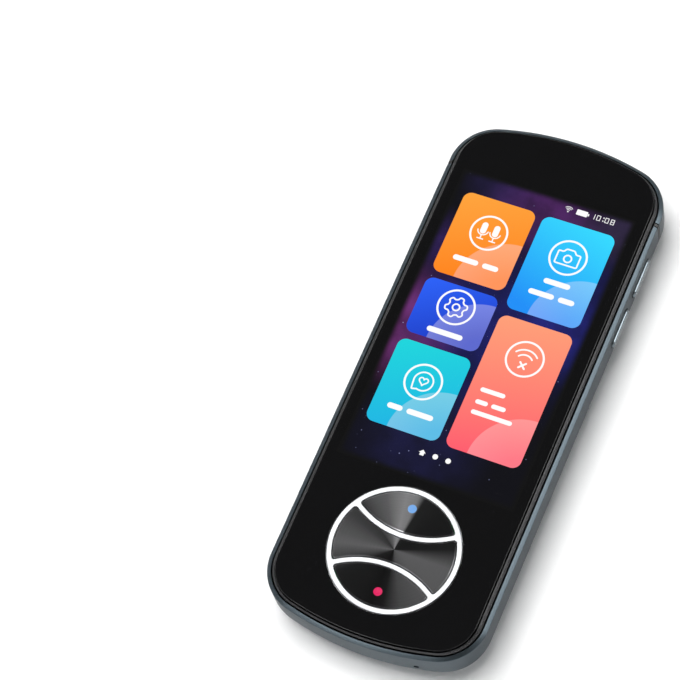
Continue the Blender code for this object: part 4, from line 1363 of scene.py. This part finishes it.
@dataclass(frozen=True)
class Front:
    """Rim with its chassis plate, and the cover glass with its round opening."""

    keys: SideKeys
    socket: Socket
    frame_side: float = 0.00115
    frame_end: float = 0.0011
    rim_side: float = 0.00062
    rim_end: float = 0.0003
    rim_below: float = 0.0007
    rim_drop: float = 0.0005
    rim_face: float = 0.0003
    rim_soft: float = 0.00007
    seat_below: float = 0.0013
    chassis_top_below: float = 0.0039
    chassis_low_below: float = 0.0045
    pocket_side: float = 0.01955
    pocket_top_from_end: float = 0.0086
    pad_room: float = 0.01405
    glass_clearance: float = 0.0002
    glass_edge: float = 0.00006
    glass_soft: float = 0.00003
    glass_thickness: float = 0.001
    opening: float = 0.01335
    opening_face: float = 0.0003
    opening_soft: float = 0.00005
    room_corner: float = 0.0001
    screw_hole: float = 0.001
    screw_bite: float = 0.0007
    screws: tuple[tuple[float, float], ...] = ((0.0158, 0.0285), (0.0152, 0.05))
    gap: float = 0.0003

    def build(self) -> None:
        """Make the rim and the glass."""
        self.build_frame()
        self.build_glass()

    def build_frame(self) -> None:
        """The rim: a slope that rises to the glass, over a plate with rooms for what it carries.

        Along the slope, inset and height both run evenly: inset = outer + t * width and
        height = inner height - drop + t * drop.
        """
        top = PLAN.front - self.rim_below
        seat = PLAN.front - self.seat_below
        floor = PLAN.front - self.chassis_top_below
        low = PLAN.front - self.chassis_low_below
        outer = (self.frame_side, self.frame_end)
        inner = (self.frame_side + self.rim_side, self.frame_end + self.rim_end)
        rows = softened([
            (*outer, low), (*outer, top - self.rim_drop), (*inner, top), (*inner, seat),
            (inner[0] + self.rim_face, inner[1] + self.rim_face, seat),
        ], self.rim_soft)
        rim = Mould().skin(PLAN.outline(rows[:, 0], rows[:, 1]), rows[:, 2]).cast("front_frame")
        pocket_low = PLAN.pad_y + self.pad_room - self.gap
        half = (PLAN.end - self.pocket_top_from_end - pocket_low) / 2
        pocket = Contour.box(self.pocket_side, half, self.room_corner, (0, pocket_low + half), 3)
        pad = Contour.disc(self.pad_room, (0, PLAN.pad_y))
        carve(
            rim,
            (Step.CUT, Mould().pool(pocket, floor, top + PLAN.overrun)),
            (Step.CUT, Mould().pool(pad, floor, top + PLAN.overrun)),
            (Step.CUT, self.notches(low)),
        )
        settle(rim, RIM_METAL)

    def notches(self, low: float) -> Mould:
        """Rooms for the side keys' lips, the socket and the board's screws.

        Args:
            low: Height of the plate's underside.

        Returns:
            One cutter with all of them.
        """
        keys, socket = self.keys, self.socket
        inside = PLAN.side - PLAN.side_wall - keys.setback - keys.flange - 2 * self.gap
        mould = keys.rooms(keys.lip + self.gap, inside)
        rear = PLAN.end - socket.recess - socket.depth - self.gap
        half = (PLAN.end + PLAN.overrun - rear) / 2
        room = Contour.box(socket.width / 2 + self.gap, half, self.room_corner, (0, rear + half), 3)
        top = PLAN.front - socket.below + socket.height / 2 + self.gap
        mould.pool(room, low - PLAN.overrun, top)
        for x, y in self.screws:
            for side in (-1, 1):
                hole = Contour.disc(self.screw_hole, (side * x, y), 32)
                mould.pool(hole, low - PLAN.overrun, low + self.screw_bite)
        return mould

    def build_glass(self) -> None:
        """The glass: a plate between the outline and the round opening, its edges softened."""
        side = self.frame_side + self.rim_side + self.glass_clearance
        end = self.frame_end + self.rim_end + self.glass_clearance
        top, low = PLAN.front, PLAN.front - self.glass_thickness
        edge = softened([
            (0, low), (0, top - self.glass_edge), (self.glass_edge, top), (3 * self.glass_edge, top),
        ], self.glass_soft)
        outer = PLAN.outline(side + edge[:, 0], end + edge[:, 0])
        pad = np.array([0, PLAN.pad_y])
        aim = (outer[0] - pad) / np.linalg.norm(outer[0] - pad, axis=1, keepdims=True)
        hole = softened(
            [(self.opening_face, top), (0, top), (0, low), (self.opening_face, low)], self.opening_soft)
        inner = pad + (self.opening + hole[:, 0])[:, None, None] * aim
        glass = Mould().skin(
            np.concatenate([outer, inner]), np.concatenate([edge[:, 1], hole[:, 1]]), closed=True)
        settle(glass.cast("cover_glass"), BLACK_GLASS)


@dataclass(frozen=True)
class Tile:
    """One tile of the home screen: its edges and its two colours, in millimetres."""

    name: str
    left: float
    right: float
    low: float
    high: float
    colours: tuple[str, str]
    icon: tuple[float, float]
    mirrored: bool = False

    def contour(self, corner: float) -> Contour:
        """Its outline in metres, with corners of a radius in metres."""
        half = ((self.right - self.left) / 2 * MM, (self.high - self.low) / 2 * MM)
        centre = ((self.left + self.right) / 2 * MM, (self.low + self.high) / 2 * MM)
        return Contour.box(*half, corner, centre)

    def finish(self) -> LitTile:
        """Its lit finish, which runs from one upper corner towards the foot."""
        near, far = (self.right, self.left) if self.mirrored else (self.left, self.right)
        return LitTile(
            f"Lit screen tile, {self.name}", self.colours[0], roughness=0.05,
            far_colour=self.colours[1], start=(near * MM, self.high * MM),
            end=((near + 0.45 * (far - near)) * MM, self.low * MM),
            corner=(self.right * MM, self.low * MM))


@dataclass(frozen=True)
class Screen:
    """The picture on the lit screen: ground, tiles, pictograms and plain bars for words.

    The pictograms' own sizes are in millimetres.
    """

    half_width: float = 18.7 * MM
    low: float = -22.65 * MM
    high: float = 43.75 * MM
    corner: float = 0.2 * MM
    tile_corner: float = 1.75 * MM
    ring_radius: float = 3.74
    ring_width: float = 0.42
    line: float = 0.32
    bar: float = 1.15
    sunk: float = 0.05 * MM
    step: float = 0.015 * MM
    tiles: tuple[Tile, ...] = (
        Tile("orange", -16.3, -0.75, 20.3, 39.07, ("#ffa53c", "#ff8214"), (-8.34, 31.61)),
        Tile("cyan", 0.75, 16.3, 17.45, 39.07, ("#34dcff", "#1d8ff8"), (8.74, 31.65), True),
        Tile("royal", -16.3, -0.75, 6.1, 18.8, ("#2a62fa", "#193cc8"), (-8.3, 14.11)),
        Tile("teal", -16.3, -0.75, -14.25, 4.5, ("#19d7dc", "#1ab4e4"), (-8.25, -3.15)),
        Tile("coral", 0.75, 16.3, -14.25, 15.85, ("#ffa078", "#ff5a6e"), (8.82, 8.12)),
    )
    clouds: tuple[Cloud, ...] = (
        Cloud(1, 40, 15, "#4a205c"),
        Cloud(-19, 8, 17, "#6a2a66"),
        Cloud(-18, 27, 9, "#2c1850"),
        Cloud(0, 12, 26, "#16185e"),
        Cloud(16, 20, 18, "#1a1c6a"),
        Cloud(-4, -15, 17, "#14143c"),
        Cloud(15, 41, 12, "#2e2440"),
        Cloud(-9, 43, 11, "#1e1640"),
    )

    def heights(self, layer: int) -> tuple[float, float]:
        """Underside and face of a layer; each lies a step above the one below."""
        return PLAN.front - self.sunk, PLAN.front + self.step * (layer + 0.5)

    def build(self) -> None:
        """Make the ground, the tiles and what is drawn on them."""
        half_y = (self.high - self.low) / 2
        middle, half = (0, self.low + half_y), (self.half_width, half_y)
        sky = NightSky(
            "Lit screen, night sky", "#06060f", roughness=0.05, clouds=self.clouds,
            middle=middle, half=half)
        ground = Mould().pool(Contour.box(*half, self.corner, middle, 4), *self.heights(0))
        settle(ground.cast("screen_ground"), sky)
        for tile in self.tiles:
            piece = Mould().pool(tile.contour(self.tile_corner), *self.heights(1))
            settle(piece.cast(f"tile_{tile.name}"), tile.finish())
        white = Lit("Lit screen marks, white", "#ffffff", roughness=0.05)
        drawings: dict[str, Callable[[Mould, tuple[float, float]], None]] = {
            "orange": self.draw_talk, "cyan": self.draw_photo, "royal": self.draw_gear,
            "teal": self.draw_bubble, "coral": self.draw_signal,
        }
        for tile in self.tiles:
            mould = Mould()
            self.draw(mould, circle(self.ring_radius, (0, 0), 72), tile.icon, self.ring_width, True)
            drawings[tile.name](mould, tile.icon)
            settle(mould.cast(f"marks_{tile.name}"), white)
        status = Mould()
        self.draw_status(status)
        settle(status.cast("marks_status"), white)

    def draw(
            self, mould: Mould, path: np.ndarray, spot: Sequence[float], width: float = 0.0,
            ring: bool = False) -> None:
        """Draw a line given in millimetres about a spot."""
        place = (np.asarray(path) + np.asarray(spot)) * MM
        mould.stroke(place, (width or self.line) * MM, *self.heights(2), ring=ring)

    def fill(self, mould: Mould, contour: Contour) -> None:
        """Fill a contour given in millimetres."""
        mould.pool(Contour(contour.base * MM, contour.normal), *self.heights(2))

    def bars(self, mould: Mould, y: float, left: float, lengths: Sequence[float], size=0.0) -> None:
        """A row of plain bars that stands for words.

        Args:
            mould: What the bars are added to.
            y: Height of the row.
            left: Where it starts.
            lengths: Length of each bar.
            size: Thickness of the bars, if not the usual one.
        """
        size = size or self.bar
        for length in lengths:
            self.fill(mould, Contour.box(length / 2, size / 2, size / 2, (left + length / 2, y), 8))
            left += length + 0.8 * size

    def draw_talk(self, mould: Mould, spot: tuple[float, float]) -> None:
        """Two microphones side by side, with a row of bars below.

        Args:
            mould: What the marks are added to.
            spot: Middle of the pictogram.
        """
        for side in (-1, 1):
            middle = np.array([spot[0] + side * 1.3, spot[1] + 0.35])
            self.fill(mould, Contour.box(0.62, 1.3, 0.62, middle + (0, 0.45), 8))
            self.draw(mould, arc(1.12, (0, 0), math.pi * 1.05, math.pi * 1.95, 20), middle, 0.24)
            self.draw(mould, np.linspace((0, -1.15), (0, -1.85), 4), middle, 0.24)
            self.draw(mould, np.linspace((-0.6, -2.0), (0.6, -2.0), 4), middle, 0.26)
        self.bars(mould, 24.5, spot[0] - 4.85, (5.4, 3.4))

    def draw_photo(self, mould: Mould, spot: tuple[float, float]) -> None:
        """A camera seen from the front, with two rows of bars below.

        Args:
            mould: What the marks are added to.
            spot: Middle of the pictogram.
        """
        case = [(-2.35, -1.7), (2.35, -1.7), (2.35, 1.1), (1.3, 1.1), (0.85, 1.8), (-0.85, 1.8),
                (-1.3, 1.1), (-2.35, 1.1)]
        self.draw(mould, ringed(case, 0.3, 5), spot, ring=True)
        self.draw(mould, circle(0.78, (0, -0.25), 32), spot, ring=True)
        self.bars(mould, 25.55, spot[0] - 2.8, (5.6,))
        self.bars(mould, 22.46, spot[0] - 4.85, (5.4, 3.4))

    def draw_gear(self, mould: Mould, spot: tuple[float, float]) -> None:
        """A gear wheel, r = 1.98 + 0.3 tanh(2 sin 6a), with a round hub and a row of bars below.

        Args:
            mould: What the marks are added to.
            spot: Middle of the pictogram.
        """
        angle = np.linspace(0, TURN, 161)[:-1]
        radius = 1.98 + 0.3 * np.tanh(2 * np.sin(6 * angle))
        self.draw(mould, radius[:, None] * ray(angle), spot, ring=True)
        self.draw(mould, circle(0.72, (0, 0), 32), spot, ring=True)
        self.bars(mould, 8.1, spot[0] - 3.8, (7.6,))

    def draw_bubble(self, mould: Mould, spot: tuple[float, float]) -> None:
        """A round speech bubble with a heart, with a row of bars below.

        The heart is x = 16 sin^3 t, y = 13 cos t - 5 cos 2t - 2 cos 3t - cos 4t, made small.

        Args:
            mould: What the marks are added to.
            spot: Middle of the pictogram.
        """
        bubble = np.vstack([
            arc(2.0, (0, 0.1), math.radians(-112), math.radians(195), 48),
            np.linspace((-1.95, -0.55), (-1.75, -2.0), 5),
            np.linspace((-1.6, -2.0), (-0.8, -1.8), 5),
        ])
        self.draw(mould, bubble, spot, ring=True)
        t = np.linspace(0, TURN, 65)[:-1]
        heart = np.stack([
            16 * np.sin(t) ** 3,
            13 * np.cos(t) - 5 * np.cos(2 * t) - 2 * np.cos(3 * t) - np.cos(4 * t),
        ], axis=-1) * 0.058
        self.draw(mould, heart + (0, 0.15), spot, 0.28, True)
        self.bars(mould, -9.9, spot[0] - 4.85, (3.2, 5.6))

    def draw_signal(self, mould: Mould, spot: tuple[float, float]) -> None:
        """Two signal arcs over a cross, with three rows of bars below.

        Args:
            mould: What the marks are added to.
            spot: Middle of the pictogram.
        """
        for radius in (3.0, 1.9):
            wave = arc(radius, (0, -1.0), math.radians(42), math.radians(138), 24)
            self.draw(mould, wave, spot, 0.34)
        for side in (-1, 1):
            cross = np.linspace((-0.6, -0.6 * side), (0.6, 0.6 * side), 4) + (0, -1.45)
            self.draw(mould, cross, spot, 0.4)
        for y, lengths in ((-0.7, (5.2,)), (-3.4, (2.6, 3.0)), (-5.7, (8.6,))):
            self.bars(mould, y, 3.0, lengths, 0.95)

    def draw_status(self, mould: Mould) -> None:
        """Signal, battery and a plain clock at the top; a house and two page dots at the foot."""
        spot = (4.9, 41.35)
        for radius in (0.42, 0.76, 1.1):
            wave = arc(radius, (0, 0), math.radians(48), math.radians(132), 10)
            self.draw(mould, wave, spot, 0.12)
        house = np.array([
            (-0.42, -0.52), (0.42, -0.52), (0.42, 0.05), (0.72, 0.05), (0, 0.68), (-0.72, 0.05),
            (-0.42, 0.05)]) + (-2.63, -17.2)
        marks = [
            Contour.disc(0.15, spot, 16),
            Contour.box(1.15, 0.6, 0.15, (7.75, 41.9), 4),
            Contour.box(0.14, 0.25, 0.05, (9.1, 41.9), 4),
            *(Contour.disc(0.55, (x, -17.1), 24) for x in (0.1, 2.82)),
            Contour(house, np.zeros_like(house)),
        ]
        for mark in marks:
            self.fill(mould, mark)
        self.draw_clock(mould, 9.75, 41.95)

    def draw_clock(self, mould: Mould, left: float, y: float) -> None:
        """Four digits drawn as thin bars along their corners, with a colon of two dots.

        Args:
            mould: What the marks are added to.
            left: Where the first digit starts.
            y: Height of the digits' middle.
        """
        corners = {"a": (0, 1), "b": (1, 1), "c": (1, 0), "d": (1, -1), "e": (0, -1), "f": (0, 0)}
        shapes = {"1": ("bd",), "0": ("abdea",), "8": ("abdea", "fc")}
        for digit in "10:08":
            if digit == ":":
                for rise in (-0.35, 0.35):
                    self.fill(mould, Contour.disc(0.13, (left + 0.15, y + rise), 12))
                left += 0.56
                continue
            for shape in shapes[digit]:
                line = np.array([corners[letter] for letter in shape]) * (0.66, 0.52) + (left, y)
                for start, end in zip(line, line[1:]):
                    self.draw(mould, np.linspace(start, end, 3), (0, 0), 0.125)
            left += 1.2


@dataclass(frozen=True)
class KeyPad:
    """White ring with two curved bars, and three talk keys with turned faces."""

    ring_radius: float = 0.0131
    ring_width: float = 0.0009
    ring_proud: float = 0.00005
    ring_edge: float = 0.00004
    flange: float = 0.00065
    flange_thickness: float = 0.0006
    flange_soft: float = 0.00005
    seat_below: float = 0.0013
    bar_width: float = 0.00086
    bar_radius: float = 0.01807
    bar_from_centre: float = 0.00323
    bar_depth: float = 0.0012
    clearance: float = 0.00025
    key_proud: float = 0.0001
    key_thickness: float = 0.0011
    key_edge: float = 0.00012
    key_soft: float = 0.00004
    key_corner: float = 0.0006
    dot_from_centre: float = 0.00896
    dot_radius: float = 0.00088
    dot_rise: float = 0.00002
    dot_sunk: float = 0.0001
    dots: tuple[tuple[str, float, int, str], ...] = (
        ("key_upper", 0.0001, 1, "#7db4f6"),
        ("key_lower", 0.0004, -1, "#ee2066"),
    )

    @property
    def inner(self) -> float:
        """Inner radius of the ring."""
        return self.ring_radius - self.ring_width

    @property
    def bar_centre(self) -> float:
        """How far up the pad's axis the upper bar's centre of curvature lies."""
        return self.bar_from_centre + self.bar_radius

    def crossing(self, disc: float, bar: float) -> tuple[float, float]:
        """Where a disc's edge meets a bar's circle: height = (d^2 - b^2 + c^2) / 2c up the axis.

        Args:
            disc: Radius of the disc.
            bar: Radius of the bar's circle.

        Returns:
            The crossing's angle seen from the disc's centre, and from the bar's.
        """
        height = (disc ** 2 - bar ** 2 + self.bar_centre ** 2) / (2 * self.bar_centre)
        chord = math.sqrt(disc ** 2 - height ** 2)
        return math.atan2(height, chord), math.atan2(chord, self.bar_centre - height)

    def outer_key(self, inset: float) -> Contour:
        """The upper key: the part of the disc within the bar's circle, its corners rounded.

        Args:
            inset: How far the key stands off the ring and the bar.

        Returns:
            Its outline.
        """
        disc = self.inner - inset - self.key_corner
        bulge = self.bar_radius - self.bar_width / 2 - inset - self.key_corner
        low, swing = self.crossing(disc, bulge)
        edge = ray(np.linspace(low, math.pi - low, 49))
        belly = ray(np.linspace(DOWN - swing, DOWN + swing, 49))
        runs = [(disc * edge, edge), (np.array([0, self.bar_centre]) + bulge * belly, belly)]
        return Contour.joined(runs, self.key_corner).moved(0, PLAN.pad_y)

    def middle_key(self, inset: float) -> Contour:
        """The middle key: the part of the disc outside both bars' circles.

        Args:
            inset: How far the key stands off the ring and the bars.

        Returns:
            Its outline.
        """
        disc = self.inner - inset - self.key_corner
        hollow = self.bar_radius + self.bar_width / 2 + inset + self.key_corner
        low, swing = self.crossing(disc, hollow)
        edge = ray(np.linspace(-low, low, 25))
        waist = ray(np.linspace(DOWN + swing, DOWN - swing, 49))
        right, top = disc * edge, np.array([0, self.bar_centre]) + hollow * waist
        runs = [(right, edge), (top, -waist), (-right, -edge), (-top, waist)]
        return Contour.joined(runs, self.key_corner).moved(0, PLAN.pad_y)

    def lower_key(self, inset: float) -> Contour:
        """The lower key: the upper one mirrored."""
        upper = self.outer_key(inset).moved(0, -PLAN.pad_y)
        return upper.flipped().moved(0, PLAN.pad_y)

    def build(self) -> None:
        """Make the ring with its bars, the keys and their dots."""
        top = PLAN.front + self.ring_proud
        seat = PLAN.front - self.seat_below
        foot, middle = seat - self.flange_thickness, top - self.bar_depth / 2
        rim = Contour.disc(self.ring_radius, (0, PLAN.pad_y), 144)
        shapes = {
            "key_upper": self.outer_key, "key_middle": self.middle_key, "key_lower": self.lower_key}
        side = [(0, top - self.bar_depth), (0, top - self.ring_edge), (-self.ring_edge, top)]
        plate = Mould().sweep(rim, side).cast("key_ring")
        openings = Mould()
        for shape in shapes.values():
            openings.pool(shape(0), top - 2 * self.bar_depth, top + self.bar_depth)
        skirt = ringed([
            (0, middle), (0, seat), (self.flange, seat), (self.flange, foot), (-self.ring_width, foot),
            (-self.ring_width, middle),
        ], self.flange_soft)
        carve(plate, (Step.CUT, openings), (Step.JOIN, Mould().sweep(rim, skirt, closed=True)))
        settle(plate, RING_PLASTIC)

        face = PLAN.front + self.key_proud
        profile = softened([
            (0, face - self.key_thickness), (0, face - self.key_edge), (-self.key_edge, face),
            (-3 * self.key_edge, face),
        ], self.key_soft)
        for name, shape in shapes.items():
            key = Mould().sweep(shape(self.clearance), profile).cast(name)
            settle(key, KEY_FACE, name)
        rise = dome(self.dot_radius, face - self.dot_sunk, face, self.dot_rise, 0.05, 8)
        for name, aside, sign, colour in self.dots:
            spot = (aside, PLAN.pad_y + sign * self.dot_from_centre)
            dot = Mould().sweep(Contour.disc(self.dot_radius, spot, 40), rise).cast(f"dot_{name}")
            # painted glow: each dot on the keys gives off its own colour
            lamp = Lit(f"Inlaid light pipe, {name}", colour, roughness=0.2, strength=0.9)
            settle(dot, lamp, name)


class Inside:
    """The parts within the shell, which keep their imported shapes."""

    def build(self) -> None:
        """Dress each part for what it is made of."""
        tin_parts = (
            "main_shield", "memory_shield", "vibration_motor",
            "switch_left", "switch_right_upper", "switch_right_lower")
        screws = tuple(f"board_screw_{k}" for k in range(1, 5))
        domes = ("dome_upper", "dome_middle", "dome_lower")
        microphones = ("microphone", "noise_microphone")
        for finish, nodes in (
            (Laminate("Solder mask on glass fibre", "#14502a", 0.45), ("main_board", "key_board")),
            (DrawnMetal("Blackened screw steel", "#5c5c5e", 0.35, 1.0), screws),
            (DrawnMetal("Tin plate", "#b9b9b5", 0.33, 1.0), tin_parts),
            (DrawnMetal("Spring steel", "#c8c8c4", 0.22, 1.0), domes),
            (Finish("Moulded plastic, black housing", "#1a1a1b", 0.5), ("speaker", "camera_module")),
            (DrawnMetal("Foil pouch under dark wrap", "#3c3d40", 0.5, 0.4), ("battery",)),
            (Foam("Open-cell foam, black", "#202022", 0.95), ("speaker_gasket",)),
            (Finish("Moulded silicone, grey", "#8f9092", 0.7), ("keypad_mat",)),
            (DrawnMetal("Gilt microphone can", "#c2b383", 0.33, 1.0), microphones),
            (Polished("Screen module glass", "#0c0d18", 0.12), ("display_panel",)),
        ):
            for node in nodes:
                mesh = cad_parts[node].data
                mesh.materials.clear()
                mesh.materials.append(finish.make())
                LOG.info("%s keeps its packed shape in %s", node, finish.name)


@dataclass(frozen=True)
class Lamp:
    """A square lamp that faces the device and lights matt surfaces, glossy ones or both."""

    name: str
    place: tuple[float, float, float]
    size: float
    power: float
    gloss: bool = True
    spill: bool = True


@dataclass(frozen=True)
class Studio:
    """Camera, lamps, and the pale floor whose rim turns up all round."""

    camera_place: tuple[float, float, float] = (0.14066901, -0.20114004, 0.53832383)
    camera_turn: tuple[float, float, float] = (25.309257, 8.140857, 23.264250)
    lens: float = 156.1643
    floor_reach: float = 0.85
    bend: float = 0.3
    wall: float = 0.25
    flat_steps: int = 20
    bend_steps: int = 16
    turn_steps: int = 96
    floor_glow: float = 0.02
    sky: float = 0.13
    lamps: tuple[Lamp, ...] = (
        Lamp("ceiling_lamp", (-0.23, 0.08, 1.15), 0.8, 16.0, gloss=False),
        Lamp("left_lamp", (-0.68, 0.54, 0.83), 0.4, 2.2, spill=False),
        Lamp("right_lamp", (0.68, 0.38, 0.78), 0.5, 7.2, spill=False),
        Lamp("foot_lamp", (-0.32, -0.66, 0.85), 0.45, 5.6, spill=False),
        Lamp("under_lamp", (-0.3, 0.5, -0.8), 0.7, 5.0),
        Lamp("low_lamp", (0.24, -0.84, -0.52), 0.85, 14.0),
    )

    def build(self) -> None:
        """Set up the room; the light is plain and soft."""
        scene = bpy.context.scene
        scene.view_settings.view_transform = "Standard"
        self.build_camera(scene)
        self.build_lamps(scene)
        self.build_floor()
        scene.world = bpy.data.worlds.new("studio_sky")
        scene.world.use_nodes = True
        background = scene.world.node_tree.nodes["Background"].inputs
        background["Color"].default_value = linear("#ffffff")
        background["Strength"].default_value = self.sky

    def build_camera(self, scene: bpy.types.Scene) -> None:
        """The camera stands where the photograph's did.

        Args:
            scene: The scene that gets it.
        """
        data = bpy.data.cameras.new("camera")
        data.lens = self.lens
        data.clip_start, data.clip_end = 0.01, 20
        camera = bpy.data.objects.new("camera", data)
        camera.location = self.camera_place
        camera.rotation_euler = Euler([math.radians(angle) for angle in self.camera_turn])
        scene.collection.objects.link(camera)
        scene.camera = camera

    def build_lamps(self, scene: bpy.types.Scene) -> None:
        """Large square lamps that face the device.

        Args:
            scene: The scene that gets them.
        """
        for lamp in self.lamps:
            data = bpy.data.lights.new(lamp.name, "AREA")
            data.shape, data.size, data.energy = "SQUARE", lamp.size, lamp.power
            obj = bpy.data.objects.new(lamp.name, data)
            obj.location = lamp.place
            obj.rotation_euler = (-obj.location).to_track_quat("-Z", "Y").to_euler()
            obj.visible_glossy, obj.visible_diffuse = lamp.gloss, lamp.spill
            scene.collection.objects.link(obj)

    def build_floor(self) -> None:
        """A disc whose rim bends up into a low wall: a profile turned about Z.

        Its bend is reach = flat + bend * sin a, height = bend * (1 - cos a).
        """
        angle = np.linspace(0, math.pi / 2, self.bend_steps + 1)[1:]
        reach = np.concatenate([
            np.linspace(0.002, self.floor_reach, self.flat_steps),
            self.floor_reach + self.bend * np.sin(angle), [self.floor_reach + self.bend]])
        height = np.concatenate([
            np.zeros(self.flat_steps), self.bend * (1 - np.cos(angle)), [self.bend + self.wall]])
        flat = reach[:, None, None] * ray(np.arange(self.turn_steps) * TURN / self.turn_steps)
        mould = Mould()
        index = mould.grid(Lay.LEVEL.place(flat[..., 0], flat[..., 1], height[:, None]))
        mould.cap(index[0])
        floor = mould.cast("floor")
        if floor.data.polygons[-1].normal.z < 0:
            floor.data.flip_normals()
        floor.data.materials.append(self.floor_material())

    def floor_material(self) -> bpy.types.Material:
        """Pale matt paint with a faint glow of its own to the eye, clear from behind and to shadows.

        Returns:
            The material.
        """
        palette = Palette("Pale studio floor")
        palette.hold({"Base Color": linear("#f8f8f8"), "Roughness": 0.9, "Specular IOR Level": 0.1})
        path = palette.add("ShaderNodeLightPath").outputs
        seen = palette.maths("MAXIMUM", path["Is Camera Ray"], path["Is Glossy Ray"])
        seen = palette.maths("MAXIMUM", seen, path["Is Transmission Ray"])
        strength = palette.maths("MULTIPLY", seen, self.floor_glow)
        glow = palette.add("ShaderNodeEmission", {"Strength": strength}).outputs[0]
        whole = palette.add("ShaderNodeAddShader", {0: palette.shader.outputs[0], 1: glow}).outputs[0]
        clear = palette.add("ShaderNodeBsdfTransparent").outputs[0]
        behind = palette.add("ShaderNodeNewGeometry").outputs["Backfacing"]
        below = palette.maths("MAXIMUM", behind, path["Is Shadow Ray"])
        mixed = palette.add("ShaderNodeMixShader", {0: below, 1: whole, 2: clear}).outputs[0]
        palette.tree.links.new(mixed, palette.tree.nodes["Material Output"].inputs[0])
        return palette.material


def main() -> None:
    """Build the sub-assemblies in order, then the room, and log each one's name."""
    logging.basicConfig(level=logging.INFO, format="%(message)s")
    camera, keys, socket = CameraBlock(), SideKeys(), Socket()
    shell, front = Shell(camera, keys, socket), Front(keys, socket)
    for assembly in (shell, camera, front, Screen(), KeyPad(), keys, socket, Inside(), Studio()):
        LOG.info("-- %s", type(assembly).__name__)
        assembly.build()


if __name__ == "__main__":
    main()
